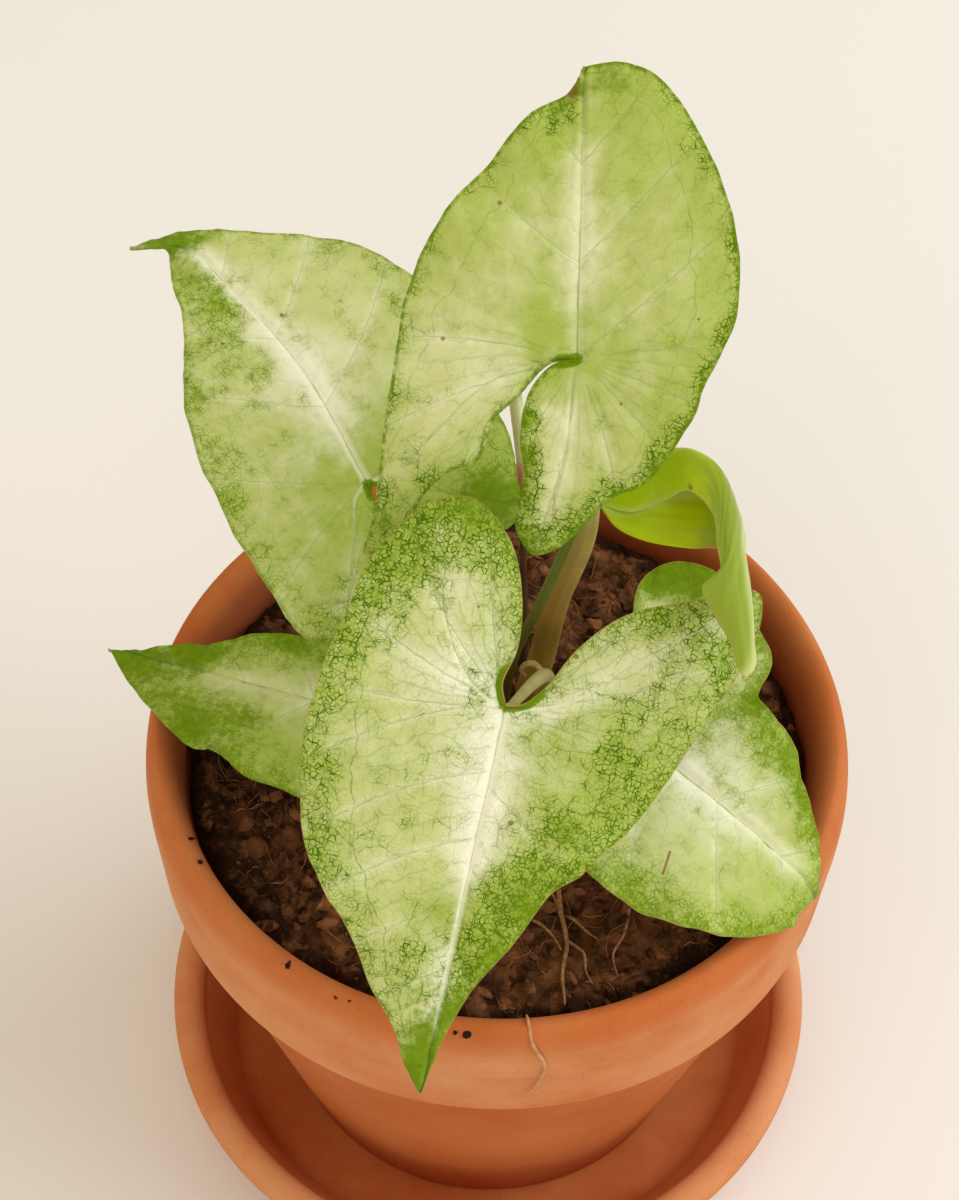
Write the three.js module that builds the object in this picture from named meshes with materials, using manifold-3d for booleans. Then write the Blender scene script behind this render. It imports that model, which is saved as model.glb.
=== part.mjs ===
// Arrowhead plant in a terracotta pot on its saucer.
// Millimetres, +Z up. The origin is the centre of the saucer's flat underside.
import * as THREE from 'three';
import { mergeVertices } from 'three/addons/utils/BufferGeometryUtils.js';
import Module from 'manifold-3d';

const wasm = await Module();
wasm.setup();

// ---- driving dimensions ----
const TURN_STEPS = 48;              // facets round the pot and the saucer
const GAP = 0.3;                    // running gap between pieces that touch
const CORNER = 1.5;                 // eased corners of the clay

// saucer
const SAUCER_RADIUS = 65.5;
const SAUCER_HEIGHT = 22;
const SAUCER_LIP = 6.2;             // thickness of the rounded lip
const LIP_STEPS = 6;
const SAUCER_FOOT_RADIUS = 52;
const SAUCER_FLOOR = 6;
const SAUCER_WELL_RADIUS = 50;      // flat floor inside

// pot
const POT_HEIGHT = 114;             // top of the rim above the table
const POT_BOTTOM = SAUCER_FLOOR + GAP;
const POT_FLOOR = 8;                // thickness of the pot's floor
const RIM_RADIUS = 65;
const RIM_CROWN_RADIUS = 62.3;
const RIM_BAND = 29;                // height of the thickened band under the rim
const RIM_ROUND = 8;                // height of the rim's rounded edges
const RIM_STEPS = 4;
const RIM_BAND_RADIUS = 63.5;       // lower edge of that band
const MOUTH_RADIUS = 58.5;
const BODY_TOP_RADIUS = 60.5;       // just under the band
const BASE_RADIUS = 41;
const BASE_INSIDE_RADIUS = 35;
const DRAIN_RADIUS = 6;

// soil
const SOIL_TOP = 104;
const SOIL_RELIEF = 0.95;           // height of its lumps
const SOIL_GAP = 0.8;               // space between the soil and the pot
const ROOT_GAP = 0.6;               // space between the soil and the root on it
const SOIL_RINGS = 9;
const SOIL_STEPS = 40;
const HOLE_DEPTH = 13;              // how deep each stalk stands in the soil
const HOLE_CLEARANCE = 0.45;        // space round the stalk in its hole
const HOLE_SIDES = 12;
const FOOT_RISE = 3.5;              // straight length of a stalk above the soil
const NECK = 3.5;                   // straight length of a stalk under its blade

// leaves
const BLADE_THICKNESS = 0.9;
const LOBE_STEPS = 6;               // along each side of a basal lobe
const FRONT_STEPS = 13;             // along the edge from the flank to the tip
const RIB_STEPS = 4;                // from a rib out to the edge
const LOBE_REACH = 35;              // the length over which the lobes bend
const RUFFLE_WAVES = 5;
const RUFFLE_SHIFT = 0.27;          // how far, in waves, the left half is ahead
const STALK_SIDES = 8;
const STALK_STEPS = 12;

// Each blade is given flat: x runs across it and y along the midrib, from the point where
// the stalk meets it towards the tip, and the two basal lobes lie at negative y. right and
// left are the halves of its edge, from the notch between the lobes to the last point
// before the tip. at, heading (from +Y towards +X), pitch and roll place the blade. arch
// bends it from the stalk to the tip, hook bends its last part further, lobes bends the
// lobes, fold lifts each half at the midrib, cup bends it on to the edge, and ruffle waves
// the edge. ribs are the ends of the two veins in the lobes, and spine is where the midrib
// runs when it isn't straight. Lengths are in millimetres, angles in degrees.
const LEAVES = [
  {
    name: 'front', colour: '#b9d07a', tip: [0, 66],
    at: [0.7, -31.2, 165.3], heading: 192.9, pitch: -28, roll: -3,
    arch: -20, lobes: -12, fold: [8, 2], cup: [-10, -20], reach: 38, ruffle: 0.6,
    ribs: [[9, -15], [-18, -11]],
    right: [[1.3, -3.5], [0.2, -9.5], [1.6, -19], [5.8, -27.5], [13, -32.4], [21, -28.8], [26.6, -20],
      [29.8, -5], [31.3, 8], [28.6, 25.5], [23, 35.2], [18.2, 39.8], [12, 49.2], [6.9, 55], [3.6, 61.5]],
    left: [[-2.6, -0.8], [-6, -5], [-9.6, -12], [-15.4, -18.5], [-22.8, -22.3], [-30, -25],
      [-36.4, -27.3], [-38.4, -22], [-36.3, -13.5], [-31.5, -1.5], [-26, 12], [-18.8, 23], [-13.7, 29],
      [-9, 39], [-5.2, 45.5], [-1.8, 55]],
    stalk: { radius: [2, 1.5], root: [9, 6], through: [[8, -4, 136]] },
  },
  {
    name: 'tall', colour: '#c3d68a', tip: [-0.6, 47.3],
    at: [10.7, 13.8, 200.4], heading: 0.5, pitch: 52, roll: 0,
    arch: -14, lobes: 8, fold: [6, 1], cup: [-10, -12], reach: 36, ruffle: 0.6,
    ribs: [[-1, -16], [-21, -11]],
    right: [[-4, -1], [-7.7, -6], [-8.8, -13], [-8, -20], [-9, -29], [-6.2, -33.4], [-1, -31.8],
      [5.7, -24.4], [13, -19.3], [18.8, -10.4], [21.5, -2.3], [25, 5.5], [26, 15], [23.8, 25.5],
      [18.5, 37], [11.5, 45.8], [5, 48.2]],
    left: [[-4.5, -0.8], [-9.7, -6.9], [-14, -11.5], [-15.8, -18], [-20.4, -19.9], [-25, -25],
      [-28.5, -32.5], [-34.3, -36], [-33, -29], [-31.9, -18], [-30, -2], [-27.6, 12], [-22.6, 23],
      [-15.5, 31.3], [-9, 39.6], [-3, 43]],
    stalk: {
      radius: [2.6, 1.6],
      root: [5.8, 13.6],
      through: [[7.5, 14.2, 115], [10, 14.4, 134], [14.4, 14.4, 157]],
    },
  },
  {
    name: 'back_left', colour: '#b4cb72', tip: [-4, 68],
    at: [-24.4, 21.6, 156.9], heading: -39.6, pitch: 12, roll: 0,
    arch: -14, lobes: -8, fold: [6, 6], cup: [-10, -10], reach: 34, ruffle: 0.7,
    ribs: [[10, -9], [-9, -10]], spine: [[4.4, 25], [4.8, 45], [3.6, 62]],
    right: [[1, -3], [4, -10], [9, -17.5], [14.6, -21.8], [19.5, -19], [23.5, -13], [26.4, -7],
      [28.5, 1], [31.5, 12], [33.8, 24], [32.5, 34.6], [28.2, 45.4], [20.2, 53.8], [11.8, 60.2], [5, 65.2]],
    left: [[-1, -3], [-5, -9], [-11, -15], [-17, -19], [-23.5, -22.2], [-28, -18], [-27.6, -10],
      [-26.3, 1], [-24.4, 12], [-20.7, 25], [-15, 35], [-9.3, 43], [-6, 48.5], [-3.4, 55], [-0.6, 60],
      [1.2, 63.6]],
    stalk: { radius: [1.8, 1.3], root: [-3.6, 13.6], through: [[-12.5, 17.5, 130]] },
  },
  {
    name: 'low_left', colour: '#7da54d', tip: [0, 54],
    at: [-20.7, -2.1, 117.5], heading: -74.2, pitch: 5, roll: 0,
    arch: -10, lobes: -8, fold: [10, 10], cup: [-8, -8], reach: 28, ruffle: 0.7,
    ribs: [[6, -7], [-7, -7]],
    right: [[1, -3], [3, -9], [7, -15.5], [12, -17], [16, -12], [17.3, -3], [16.4, 6], [13.6, 15],
      [11, 23.5], [8.8, 30.5], [5.6, 36.5], [3.2, 42.5], [1.1, 49]],
    left: [[-1, -3], [-4, -9], [-9, -15], [-15, -16.5], [-20, -11], [-22.3, -2], [-21.8, 8.6],
      [-20.9, 20], [-18, 26.8], [-17.4, 32], [-12.8, 40], [-8, 46], [-3.2, 50.8]],
    stalk: { radius: [1.5, 1.1], root: [-1.2, 5.4], through: [[-6, 3.6, 113.5], [-13.5, 0.8, 116]] },
  },
  {
    name: 'low_right', colour: '#a9c47c', tip: [1.5, 44.2],
    at: [26.5, -17.5, 133.6], heading: 123, pitch: -10, roll: 16,
    arch: -35, hook: [32.2, -60], lobes: -8, fold: [6, 6], cup: [-10, -10], reach: 34, ruffle: 0.8,
    ribs: [[8, -7], [-12, -8]],
    right: [[1, -3], [4, -9.5], [9, -15.5], [15, -17], [20, -12], [23, -4], [25, 6], [24.6, 14.5],
      [22.3, 21.8], [18.8, 29], [14.6, 34.5], [9.5, 38.8], [5, 42.2]],
    left: [[-1.5, -3], [-7, -9], [-14.6, -14.2], [-22.2, -18.6], [-27, -18.6], [-31.4, -16],
      [-33, -9], [-31, -1], [-25.6, 8.3], [-19, 10.1], [-17.5, 14.6], [-16.4, 20], [-11.8, 25],
      [-7.3, 31], [-4, 36.2], [-1, 41.7]],
    stalk: { radius: [1.7, 1.2], root: [11.8, 11.4], through: [[14.5, 4, 120], [20, -9, 128.4]] },
  },
];

// The young leaf is still rolled: each list is one line along it, from the stalk to the
// tip, in the order lower edge, midrib, crest of the roll, and upper edge.
const YOUNG = {
  colour: '#9cc236',
  thickness: 0.8,
  steps: 26,
  across: 4,                        // steps between two neighbouring lines
  base: [16.1, 9.6, 167.8],
  tip: [38.5, -35.8, 181.3],
  lines: [
    [[18.8, 4.2, 168.9], [23.5, 0, 170.6], [30.9, -2.6, 172.4], [35.3, -4.2, 174.3], [38.2, -8.6, 175.4],
      [38.7, -17.3, 177.6], [39, -26.8, 179.3]],
    [[21.6, 7.8, 168.4], [27, 9.2, 171.3], [31.5, 9.7, 172.9], [36, 6.7, 176.2], [39, -1.9, 179.2],
      [39.6, -14.4, 180], [39.7, -27.9, 180.9]],
    [[21.6, 11.6, 171.6], [26, 12.6, 176.2], [30.2, 11.4, 179], [35.2, 5.4, 182.2], [37.4, -3.3, 183.2],
      [36.8, -17.7, 183.8], [38, -29.4, 182.9]],
    [[21, 8.4, 174.4], [25.7, 6.6, 178.1], [30.4, 3.1, 180.3], [33.9, -3.8, 182.8], [34.5, -10.4, 182.9],
      [31.6, -19.3, 183], [36, -29.5, 182.5]],
  ],
  lean: [0.75, 0.1, 0.65],
  stalk: { radius: [1.5, 1.1], root: [0.8, 10], through: [[2.8, 10, 124.5], [6.5, 10, 138], [10.6, 10, 155]] },
};

// A furled new leaf stands behind the others, as a slim tapered spear.
const SPEAR = {
  colour: '#c9c98c',
  radius: [1.5, 0.45],
  root: [4.5, 22.5],
  through: [[3.8, 28, 128], [3.2, 36, 143.5], [1.4, 44.5, 155.5], [-1, 56, 170]],
};

// A dry curl of leaf sheath stands beside the stalks.
const SHEATH = {
  colour: '#cfc39a',
  radius: [0.9, 0.5],
  root: [5.2, 8.2],
  through: [[6.6, 8, 112], [8, 8, 117], [7.6, 8, 120.6], [6, 8.2, 122.8], [4.5, 8.2, 122.3], [3.9, 8, 120.4],
    [4.9, 8, 119]],
};

// A bare root lies along the top of the soil.
const ROOT = {
  colour: '#b98a56',
  radius: [0.7, 0.45],
  path: [[11.5, -27], [11.9, -33], [13.2, -40], [12.4, -47], [12.8, -53.5]],
};

const STALK_COLOURS = { leaf: '#8c9a4a', young: '#8ea84a' };
const BLADE_ROUGHNESS = 0.45;
const DRY_ROUGHNESS = 0.9;
const CLAY = { colour: '#c8703c', roughness: 0.85 };
const EARTH = { colour: '#43291b', roughness: 1 };

// ---- small helpers ----

const radians = THREE.MathUtils.degToRad;
const vector = (list) => new THREE.Vector3(...list);

function named(name, geometry, colour, roughness) {
  const material = new THREE.MeshStandardMaterial({ color: colour, roughness, metalness: 0 });
  const mesh = new THREE.Mesh(geometry, material);
  mesh.name = name;
  return mesh;
}

function closedGeometry(points, triangles) {
  const geometry = new THREE.BufferGeometry();
  const numbers = points.flatMap((p) => p.toArray());
  geometry.setAttribute('position', new THREE.Float32BufferAttribute(numbers, 3));
  geometry.setIndex(triangles.flat());
  return geometry;
}

// a smooth curve through flat points, with z left at 0
function smoothEdge(points) {
  const places = points.map(([x, y]) => new THREE.Vector3(x, y, 0));
  return new THREE.CatmullRomCurve3(places, false, 'centripetal');
}

function manifoldOf(geometry) {
  const bare = geometry.clone();
  bare.deleteAttribute('normal');
  bare.deleteAttribute('uv');
  const merged = mergeVertices(bare, 1e-4);
  return new wasm.Manifold(new wasm.Mesh({
    numProp: 3,
    vertProperties: new Float32Array(merged.attributes.position.array),
    triVerts: new Uint32Array(merged.index.array),
  }));
}

function geometryOf(manifold) {
  const mesh = manifold.getMesh();
  const geometry = new THREE.BufferGeometry();
  geometry.setAttribute('position', new THREE.BufferAttribute(new Float32Array(mesh.vertProperties), 3));
  geometry.setIndex(new THREE.BufferAttribute(new Uint32Array(mesh.triVerts), 1));
  return geometry;
}

// the point and slope after a length of an arc that starts at a slope and turns at a rate
function alongArc(length, slope, rate) {
  if (Math.abs(rate) < 1e-7) {
    return { out: length * Math.cos(slope), up: length * Math.sin(slope), slope };
  }
  const end = slope + rate * length;
  return {
    out: (Math.sin(end) - Math.sin(slope)) / rate,
    up: (Math.cos(slope) - Math.cos(end)) / rate,
    slope: end,
  };
}

// ---- a thin sheet made a closed solid ----

// The sheet's faces look up; both faces get the same triangles, joined round the border.
function thicken(points, triangles, thickness) {
  const normals = points.map(() => new THREE.Vector3());
  const borders = new Map();
  for (const [a, b, c] of triangles) {
    const face = new THREE.Vector3().subVectors(points[b], points[a]);
    face.cross(new THREE.Vector3().subVectors(points[c], points[a]));
    for (const i of [a, b, c]) {
      normals[i].add(face);
    }
    for (const [i, j] of [[a, b], [b, c], [c, a]]) {
      if (borders.has(`${j},${i}`)) {
        borders.delete(`${j},${i}`);
      } else {
        borders.set(`${i},${j}`, [i, j]);
      }
    }
  }
  normals.forEach((normal) => normal.setLength(thickness / 2));
  const offset = (side) => points.map((p, i) => p.clone().addScaledVector(normals[i], side));
  const count = points.length;
  const faces = [...triangles, ...triangles.map(([a, b, c]) => [a + count, c + count, b + count])];
  for (const [i, j] of borders.values()) {
    faces.push([i, i + count, j], [j, i + count, j + count]);
  }
  return closedGeometry([...offset(1), ...offset(-1)], faces);
}

// welds points that share a key, and drops triangles that lose an edge
class Sheet {
  constructor() {
    this.points = [];
    this.triangles = [];
    this.known = new Map();
  }

  point(key, make) {
    if (!this.known.has(key)) {
      this.known.set(key, this.points.length);
      this.points.push(make());
    }
    return this.known.get(key);
  }

  triangle(a, b, c) {
    if (a !== b && b !== c && c !== a) {
      this.triangles.push([a, b, c]);
    }
  }

  quad(a, b, c, d) {
    this.triangle(a, b, c);
    this.triangle(a, c, d);
  }
}

// ---- blades ----

// the midrib's place and slope at a distance from the stalk
function midrib(leaf, y) {
  if (y < 0) {
    return alongArc(y, 0, -radians(leaf.lobes) / LOBE_REACH);
  }
  const rate = radians(leaf.arch) / leaf.tip[1];
  if (!leaf.hook || y <= leaf.hook[0]) {
    return alongArc(y, 0, rate);
  }
  const [from, turn] = leaf.hook;
  const first = alongArc(from, 0, rate);
  const second = alongArc(y - from, first.slope, rate + radians(turn) / (leaf.tip[1] - from));
  return { out: first.out + second.out, up: first.up + second.up, slope: second.slope };
}

function leafFrame(leaf) {
  const heading = radians(leaf.heading);
  const pitch = radians(leaf.pitch);
  const level = Math.cos(pitch);
  const along = new THREE.Vector3(Math.sin(heading) * level, Math.cos(heading) * level, Math.sin(pitch));
  const across = new THREE.Vector3(Math.cos(heading), -Math.sin(heading), 0);
  const up = new THREE.Vector3().crossVectors(across, along);
  across.applyAxisAngle(along, radians(leaf.roll));
  up.applyAxisAngle(along, radians(leaf.roll));
  return { across, along, up, origin: vector(leaf.at) };
}

// takes a flat point of the blade to its place on the plant
function bladePoint(leaf, x, y, ripple) {
  const side = x < 0 ? 1 : 0;
  const half = Math.abs(x);
  const section = alongArc(half, radians(leaf.fold[side]), radians(leaf.cup[side]) / leaf.reach);
  const rib = midrib(leaf, y);
  const lift = section.up + ripple;
  const { across, along, up, origin } = leafFrame(leaf);
  return origin.clone()
    .addScaledVector(across, Math.sign(x) * section.out)
    .addScaledVector(along, rib.out - Math.sin(rib.slope) * lift)
    .addScaledVector(up, rib.up + Math.cos(rib.slope) * lift);
}

// The half's edge in three runs: the notch side of the lobe, its outer side to the flank,
// and the front to the tip. Each edge point is tied to a root on the basal rib or midrib.
function halfGrid(leaf, points, rib) {
  const lobeAt = points.reduce((best, p, i) => (p[1] < points[best][1] ? i : best), 0);
  const flankAt = points.findIndex((p, i) => i > lobeAt && p[1] > 0);
  const edge = smoothEdge([[0, 0], ...points, leaf.tip]);
  const spans = points.length + 1;
  const knots = [0, (lobeAt + 1) / spans, (flankAt + 1) / spans, 1];
  const rows = [];
  const run = (from, to, steps, root) => {
    for (let i = rows.length ? 1 : 0; i <= steps; i++) {
      const share = i / steps;
      const at = edge.getPoint(from + (to - from) * share);
      rows.push({ edge: [at.x, at.y], root: root(share) });
    }
  };
  const basalRib = new THREE.QuadraticBezierCurve(
    new THREE.Vector2(), new THREE.Vector2(rib[0] * 0.6, 0), new THREE.Vector2(...rib));
  const spine = smoothEdge([[0, 0], ...(leaf.spine ?? []), leaf.tip]);
  const basal = (share) => basalRib.getPoint(share).toArray();
  run(knots[0], knots[1], LOBE_STEPS, basal);
  run(knots[1], knots[2], LOBE_STEPS, (share) => basal(1 - share));
  run(knots[2], knots[3], FRONT_STEPS, (share) => spine.getPointAt(share ** 1.1).toArray().slice(0, 2));
  return rows;
}

function bladeGeometry(leaf) {
  const sheet = new Sheet();
  for (const [half, turn] of [[0, 1], [1, -1]]) {
    const rows = halfGrid(leaf, half ? leaf.left : leaf.right, leaf.ribs[half]);
    const at = (row, column) => {
      const share = column / RIB_STEPS;
      const { edge, root } = rows[row];
      const x = root[0] + (edge[0] - root[0]) * share;
      const y = root[1] + (edge[1] - root[1]) * share;
      const turns = RUFFLE_WAVES * row / (rows.length - 1) + half * RUFFLE_SHIFT;
      const wave = leaf.ruffle * share ** 3 * Math.sin(2 * Math.PI * turns);
      return sheet.point(`${x.toFixed(2)},${y.toFixed(2)}`, () => bladePoint(leaf, x, y, wave));
    };
    for (let row = 0; row < rows.length - 1; row++) {
      for (let column = 0; column < RIB_STEPS; column++) {
        const near = [at(row, column), at(row, column + 1)];
        const far = [at(row + 1, column), at(row + 1, column + 1)];
        if (turn > 0) {
          sheet.quad(near[0], near[1], far[1], far[0]);
        } else {
          sheet.quad(near[0], far[0], far[1], near[1]);
        }
      }
    }
  }
  return thicken(sheet.points, sheet.triangles, BLADE_THICKNESS);
}

function youngBlade() {
  const ended = YOUNG.lines.map((line) => [YOUNG.base, ...line, YOUNG.tip].map(vector));
  const lines = ended.map((places) => new THREE.CatmullRomCurve3(places));
  const sheet = new Sheet();
  const columns = YOUNG.across * (lines.length - 1);
  const at = (row, column) => {
    const ribs = lines.map((line) => line.getPoint(row / YOUNG.steps));
    const end = row === 0 || row === YOUNG.steps;
    const key = end ? `${row}` : `${row},${column}`;
    const section = new THREE.CatmullRomCurve3(ribs, false, 'chordal');
    return sheet.point(key, () => section.getPoint(end ? 0 : column / columns));
  };
  for (let row = 0; row < YOUNG.steps; row++) {
    for (let column = 0; column < columns; column++) {
      sheet.quad(at(row, column), at(row, column + 1), at(row + 1, column + 1), at(row + 1, column));
    }
  }
  return thicken(sheet.points, sheet.triangles, YOUNG.thickness);
}

// ---- stalks and roots ----

// a closed round rod along a curve, from one radius to another
function taperedRod(places, [startRadius, endRadius], sides = STALK_SIDES, steps = STALK_STEPS) {
  const curve = new THREE.CatmullRomCurve3(places, false, 'centripetal');
  const frames = curve.computeFrenetFrames(steps, false);
  const points = [];
  const faces = [];
  for (let i = 0; i <= steps; i++) {
    const centre = curve.getPointAt(i / steps);
    const radius = startRadius + (endRadius - startRadius) * i / steps;
    for (let j = 0; j < sides; j++) {
      const angle = 2 * Math.PI * j / sides;
      points.push(centre.clone()
        .addScaledVector(frames.normals[i], radius * Math.cos(angle))
        .addScaledVector(frames.binormals[i], radius * Math.sin(angle)));
    }
  }
  for (let i = 0; i < steps; i++) {
    for (let j = 0; j < sides; j++) {
      const a = i * sides + j;
      const b = i * sides + (j + 1) % sides;
      faces.push([a, b, b + sides], [a, b + sides, a + sides]);
    }
  }
  const last = steps * sides;
  for (let j = 1; j < sides - 1; j++) {
    faces.push([0, j + 1, j], [last, last + j, last + j + 1]);
  }
  return closedGeometry(points, faces);
}

function stalkFoot({ root }) {
  const heights = [SOIL_TOP - HOLE_DEPTH + 1, SOIL_TOP - HOLE_DEPTH / 2, SOIL_TOP + FOOT_RISE];
  return heights.map((z) => new THREE.Vector3(...root, z));
}

// the stalk's foot stands upright in the soil, and its head stops just under the blade
function stalkPlaces(stalk, head, lean) {
  const [x, y] = stalk.root;
  const under = head.clone().addScaledVector(lean, -NECK);
  return [...stalkFoot(stalk), ...stalk.through.map(vector), under, head];
}

function leafStalk(leaf) {
  const { up, origin } = leafFrame(leaf);
  const head = origin.clone().addScaledVector(up, -BLADE_THICKNESS / 2 - GAP);
  return taperedRod(stalkPlaces(leaf.stalk, head, up), leaf.stalk.radius);
}

function youngStalk() {
  const lean = vector(YOUNG.lean);
  const head = vector(YOUNG.base).addScaledVector(lean, -YOUNG.thickness / 2 - GAP);
  return taperedRod(stalkPlaces(YOUNG.stalk, head, lean), YOUNG.stalk.radius);
}

// a slim piece that stands in the soil like a stalk and ends free
function upright(shape) {
  return taperedRod([...stalkFoot(shape), ...shape.through.map(vector)], shape.radius);
}

// ---- soil ----

function soilHeight(x, y) {
  const lumps = Math.sin(x * 0.21 + 1.3) * Math.cos(y * 0.17) + 0.6 * Math.sin(x * 0.37 - y * 0.31);
  return SOIL_TOP + SOIL_RELIEF * lumps;
}

function surfaceRoot() {
  const lift = ROOT.radius[0] + ROOT_GAP;
  const places = ROOT.path.map(([x, y]) => new THREE.Vector3(x, y, soilHeight(x, y) + lift));
  return taperedRod(places, ROOT.radius);
}

function soilRadius(z) {
  const floor = POT_BOTTOM + POT_FLOOR;
  const share = (z - floor) / (POT_HEIGHT - RIM_ROUND - floor);
  return BASE_INSIDE_RADIUS + (MOUTH_RADIUS - BASE_INSIDE_RADIUS) * share - SOIL_GAP;
}

function soilBody() {
  const floor = POT_BOTTOM + POT_FLOOR + GAP;
  const points = [new THREE.Vector3(0, 0, soilHeight(0, 0))];
  const faces = [];
  const ring = (radius, height) => {
    const start = points.length;
    for (let j = 0; j < SOIL_STEPS; j++) {
      const angle = 2 * Math.PI * j / SOIL_STEPS;
      const x = radius * Math.cos(angle);
      const y = radius * Math.sin(angle);
      points.push(new THREE.Vector3(x, y, height(x, y)));
    }
    return start;
  };
  const starts = [];
  for (let i = 1; i <= SOIL_RINGS; i++) {
    starts.push(ring(soilRadius(SOIL_TOP) * i / SOIL_RINGS, soilHeight));
  }
  starts.push(ring(soilRadius(floor), () => floor));
  const bottom = points.push(new THREE.Vector3(0, 0, floor)) - 1;
  for (let j = 0; j < SOIL_STEPS; j++) {
    const next = (j + 1) % SOIL_STEPS;
    faces.push([0, starts[0] + j, starts[0] + next]);
    for (let i = 0; i < starts.length - 1; i++) {
      faces.push([starts[i] + j, starts[i + 1] + j, starts[i + 1] + next]);
      faces.push([starts[i] + j, starts[i + 1] + next, starts[i] + next]);
    }
    faces.push([bottom, starts.at(-1) + next, starts.at(-1) + j]);
  }
  return closedGeometry(points, faces);
}

// the soil with a plain round hole for each stalk's foot
function soilGeometry(stalks) {
  let soil = manifoldOf(soilBody());
  for (const { root, radius } of stalks) {
    const wide = radius[0] + HOLE_CLEARANCE;
    const hole = new THREE.CylinderGeometry(wide, wide, 2 * HOLE_DEPTH, HOLE_SIDES);
    hole.rotateX(Math.PI / 2);
    hole.translate(root[0], root[1], SOIL_TOP);
    soil = soil.subtract(manifoldOf(hole));
  }
  return geometryOf(soil);
}

// ---- pot and saucer ----

function turned(profile) {
  const geometry = new THREE.LatheGeometry(profile.map(([r, z]) => new THREE.Vector2(r, z)), TURN_STEPS);
  geometry.rotateX(Math.PI / 2);
  return geometry;
}

// half of the rim's rounded top, as points on a quarter of an ellipse
function rimQuarter(reach, from) {
  return Array.from({ length: RIM_STEPS + 1 }, (_, i) => {
    const angle = radians(from - 90 * i / RIM_STEPS);
    return [RIM_CROWN_RADIUS + reach * Math.cos(angle), POT_HEIGHT - RIM_ROUND * (1 - Math.sin(angle))];
  });
}

function saucerGeometry() {
  const lipCentre = SAUCER_RADIUS - SAUCER_LIP / 2;
  const lip = SAUCER_LIP / 2;
  const over = [];
  for (let i = 0; i <= LIP_STEPS; i++) {
    const angle = Math.PI * i / LIP_STEPS;
    over.push([lipCentre - lip * Math.cos(angle), SAUCER_HEIGHT - lip + lip * Math.sin(angle)]);
  }
  return turned([
    [0, SAUCER_FLOOR], [SAUCER_WELL_RADIUS, SAUCER_FLOOR],
    [SAUCER_WELL_RADIUS + 2 * CORNER, SAUCER_FLOOR + CORNER], ...over,
    [SAUCER_FOOT_RADIUS + CORNER, CORNER], [SAUCER_FOOT_RADIUS, 0], [0, 0],
  ].reverse());
}

function potGeometry() {
  const bandBottom = POT_HEIGHT - RIM_BAND;
  const floor = POT_BOTTOM + POT_FLOOR;
  const inner = rimQuarter(RIM_CROWN_RADIUS - MOUTH_RADIUS, 180);
  const outer = rimQuarter(RIM_RADIUS - RIM_CROWN_RADIUS, 90);
  return turned([
    [DRAIN_RADIUS, POT_BOTTOM], [DRAIN_RADIUS, floor], [BASE_INSIDE_RADIUS, floor],
    ...inner, ...outer.slice(1),
    [RIM_BAND_RADIUS, bandBottom + CORNER], [RIM_BAND_RADIUS - CORNER, bandBottom],
    [BODY_TOP_RADIUS, bandBottom - CORNER], [BASE_RADIUS, POT_BOTTOM + CORNER],
    [BASE_RADIUS - CORNER, POT_BOTTOM], [DRAIN_RADIUS, POT_BOTTOM],
  ].reverse());
}

// ---- the part ----

const part = new THREE.Group();
const stalks = [...LEAVES, YOUNG].map((leaf) => leaf.stalk);

part.add(named('saucer', saucerGeometry(), CLAY.colour, CLAY.roughness));
part.add(named('pot', potGeometry(), CLAY.colour, CLAY.roughness));
part.add(named('soil', soilGeometry([...stalks, SPEAR, SHEATH]), EARTH.colour, EARTH.roughness));

for (const leaf of LEAVES) {
  part.add(named(`leaf_blade_${leaf.name}`, bladeGeometry(leaf), leaf.colour, BLADE_ROUGHNESS));
  part.add(named(`leaf_stalk_${leaf.name}`, leafStalk(leaf), STALK_COLOURS.leaf, BLADE_ROUGHNESS));
}
part.add(named('leaf_blade_young', youngBlade(), YOUNG.colour, BLADE_ROUGHNESS));
part.add(named('leaf_stalk_young', youngStalk(), STALK_COLOURS.young, BLADE_ROUGHNESS));
part.add(named('furled_leaf', upright(SPEAR), SPEAR.colour, BLADE_ROUGHNESS));
part.add(named('dry_sheath', upright(SHEATH), SHEATH.colour, DRY_ROUGHNESS));
part.add(named('surface_root', surfaceRoot(), ROOT.colour, DRY_ROUGHNESS));

export default part;
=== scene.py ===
"""Young arrowhead plant in a terracotta pot that stands in its saucer.

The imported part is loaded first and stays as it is. Each operator below makes one piece, or a group of like
pieces, in the place that the part gives it: the turned clay, the soil with its crumbs and fibres, the open
blades, the young rolled leaf, the stalks, the furled leaf, the dry sheath and the bare roots. Lengths in the
tables are millimetres.
"""
import math
import random
from functools import partial

import bpy
import numpy as np
from mathutils import Matrix, Vector, noise


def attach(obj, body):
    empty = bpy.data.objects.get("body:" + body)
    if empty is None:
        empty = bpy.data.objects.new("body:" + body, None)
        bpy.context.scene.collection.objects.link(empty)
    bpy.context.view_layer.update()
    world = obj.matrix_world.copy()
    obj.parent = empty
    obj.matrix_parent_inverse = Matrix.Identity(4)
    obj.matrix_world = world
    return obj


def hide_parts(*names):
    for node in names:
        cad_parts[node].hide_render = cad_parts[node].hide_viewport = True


bl_info = {
    "name": "Potted arrowhead plant",
    "version": (1, 0, 0),
    "blender": (4, 5, 0),
    "location": "3D View > Sidebar > Arrowhead plant",
    "description": "Blades, stalks, soil, clay pot and saucer of a young arrowhead plant",
    "category": "Add Mesh",
}

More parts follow.
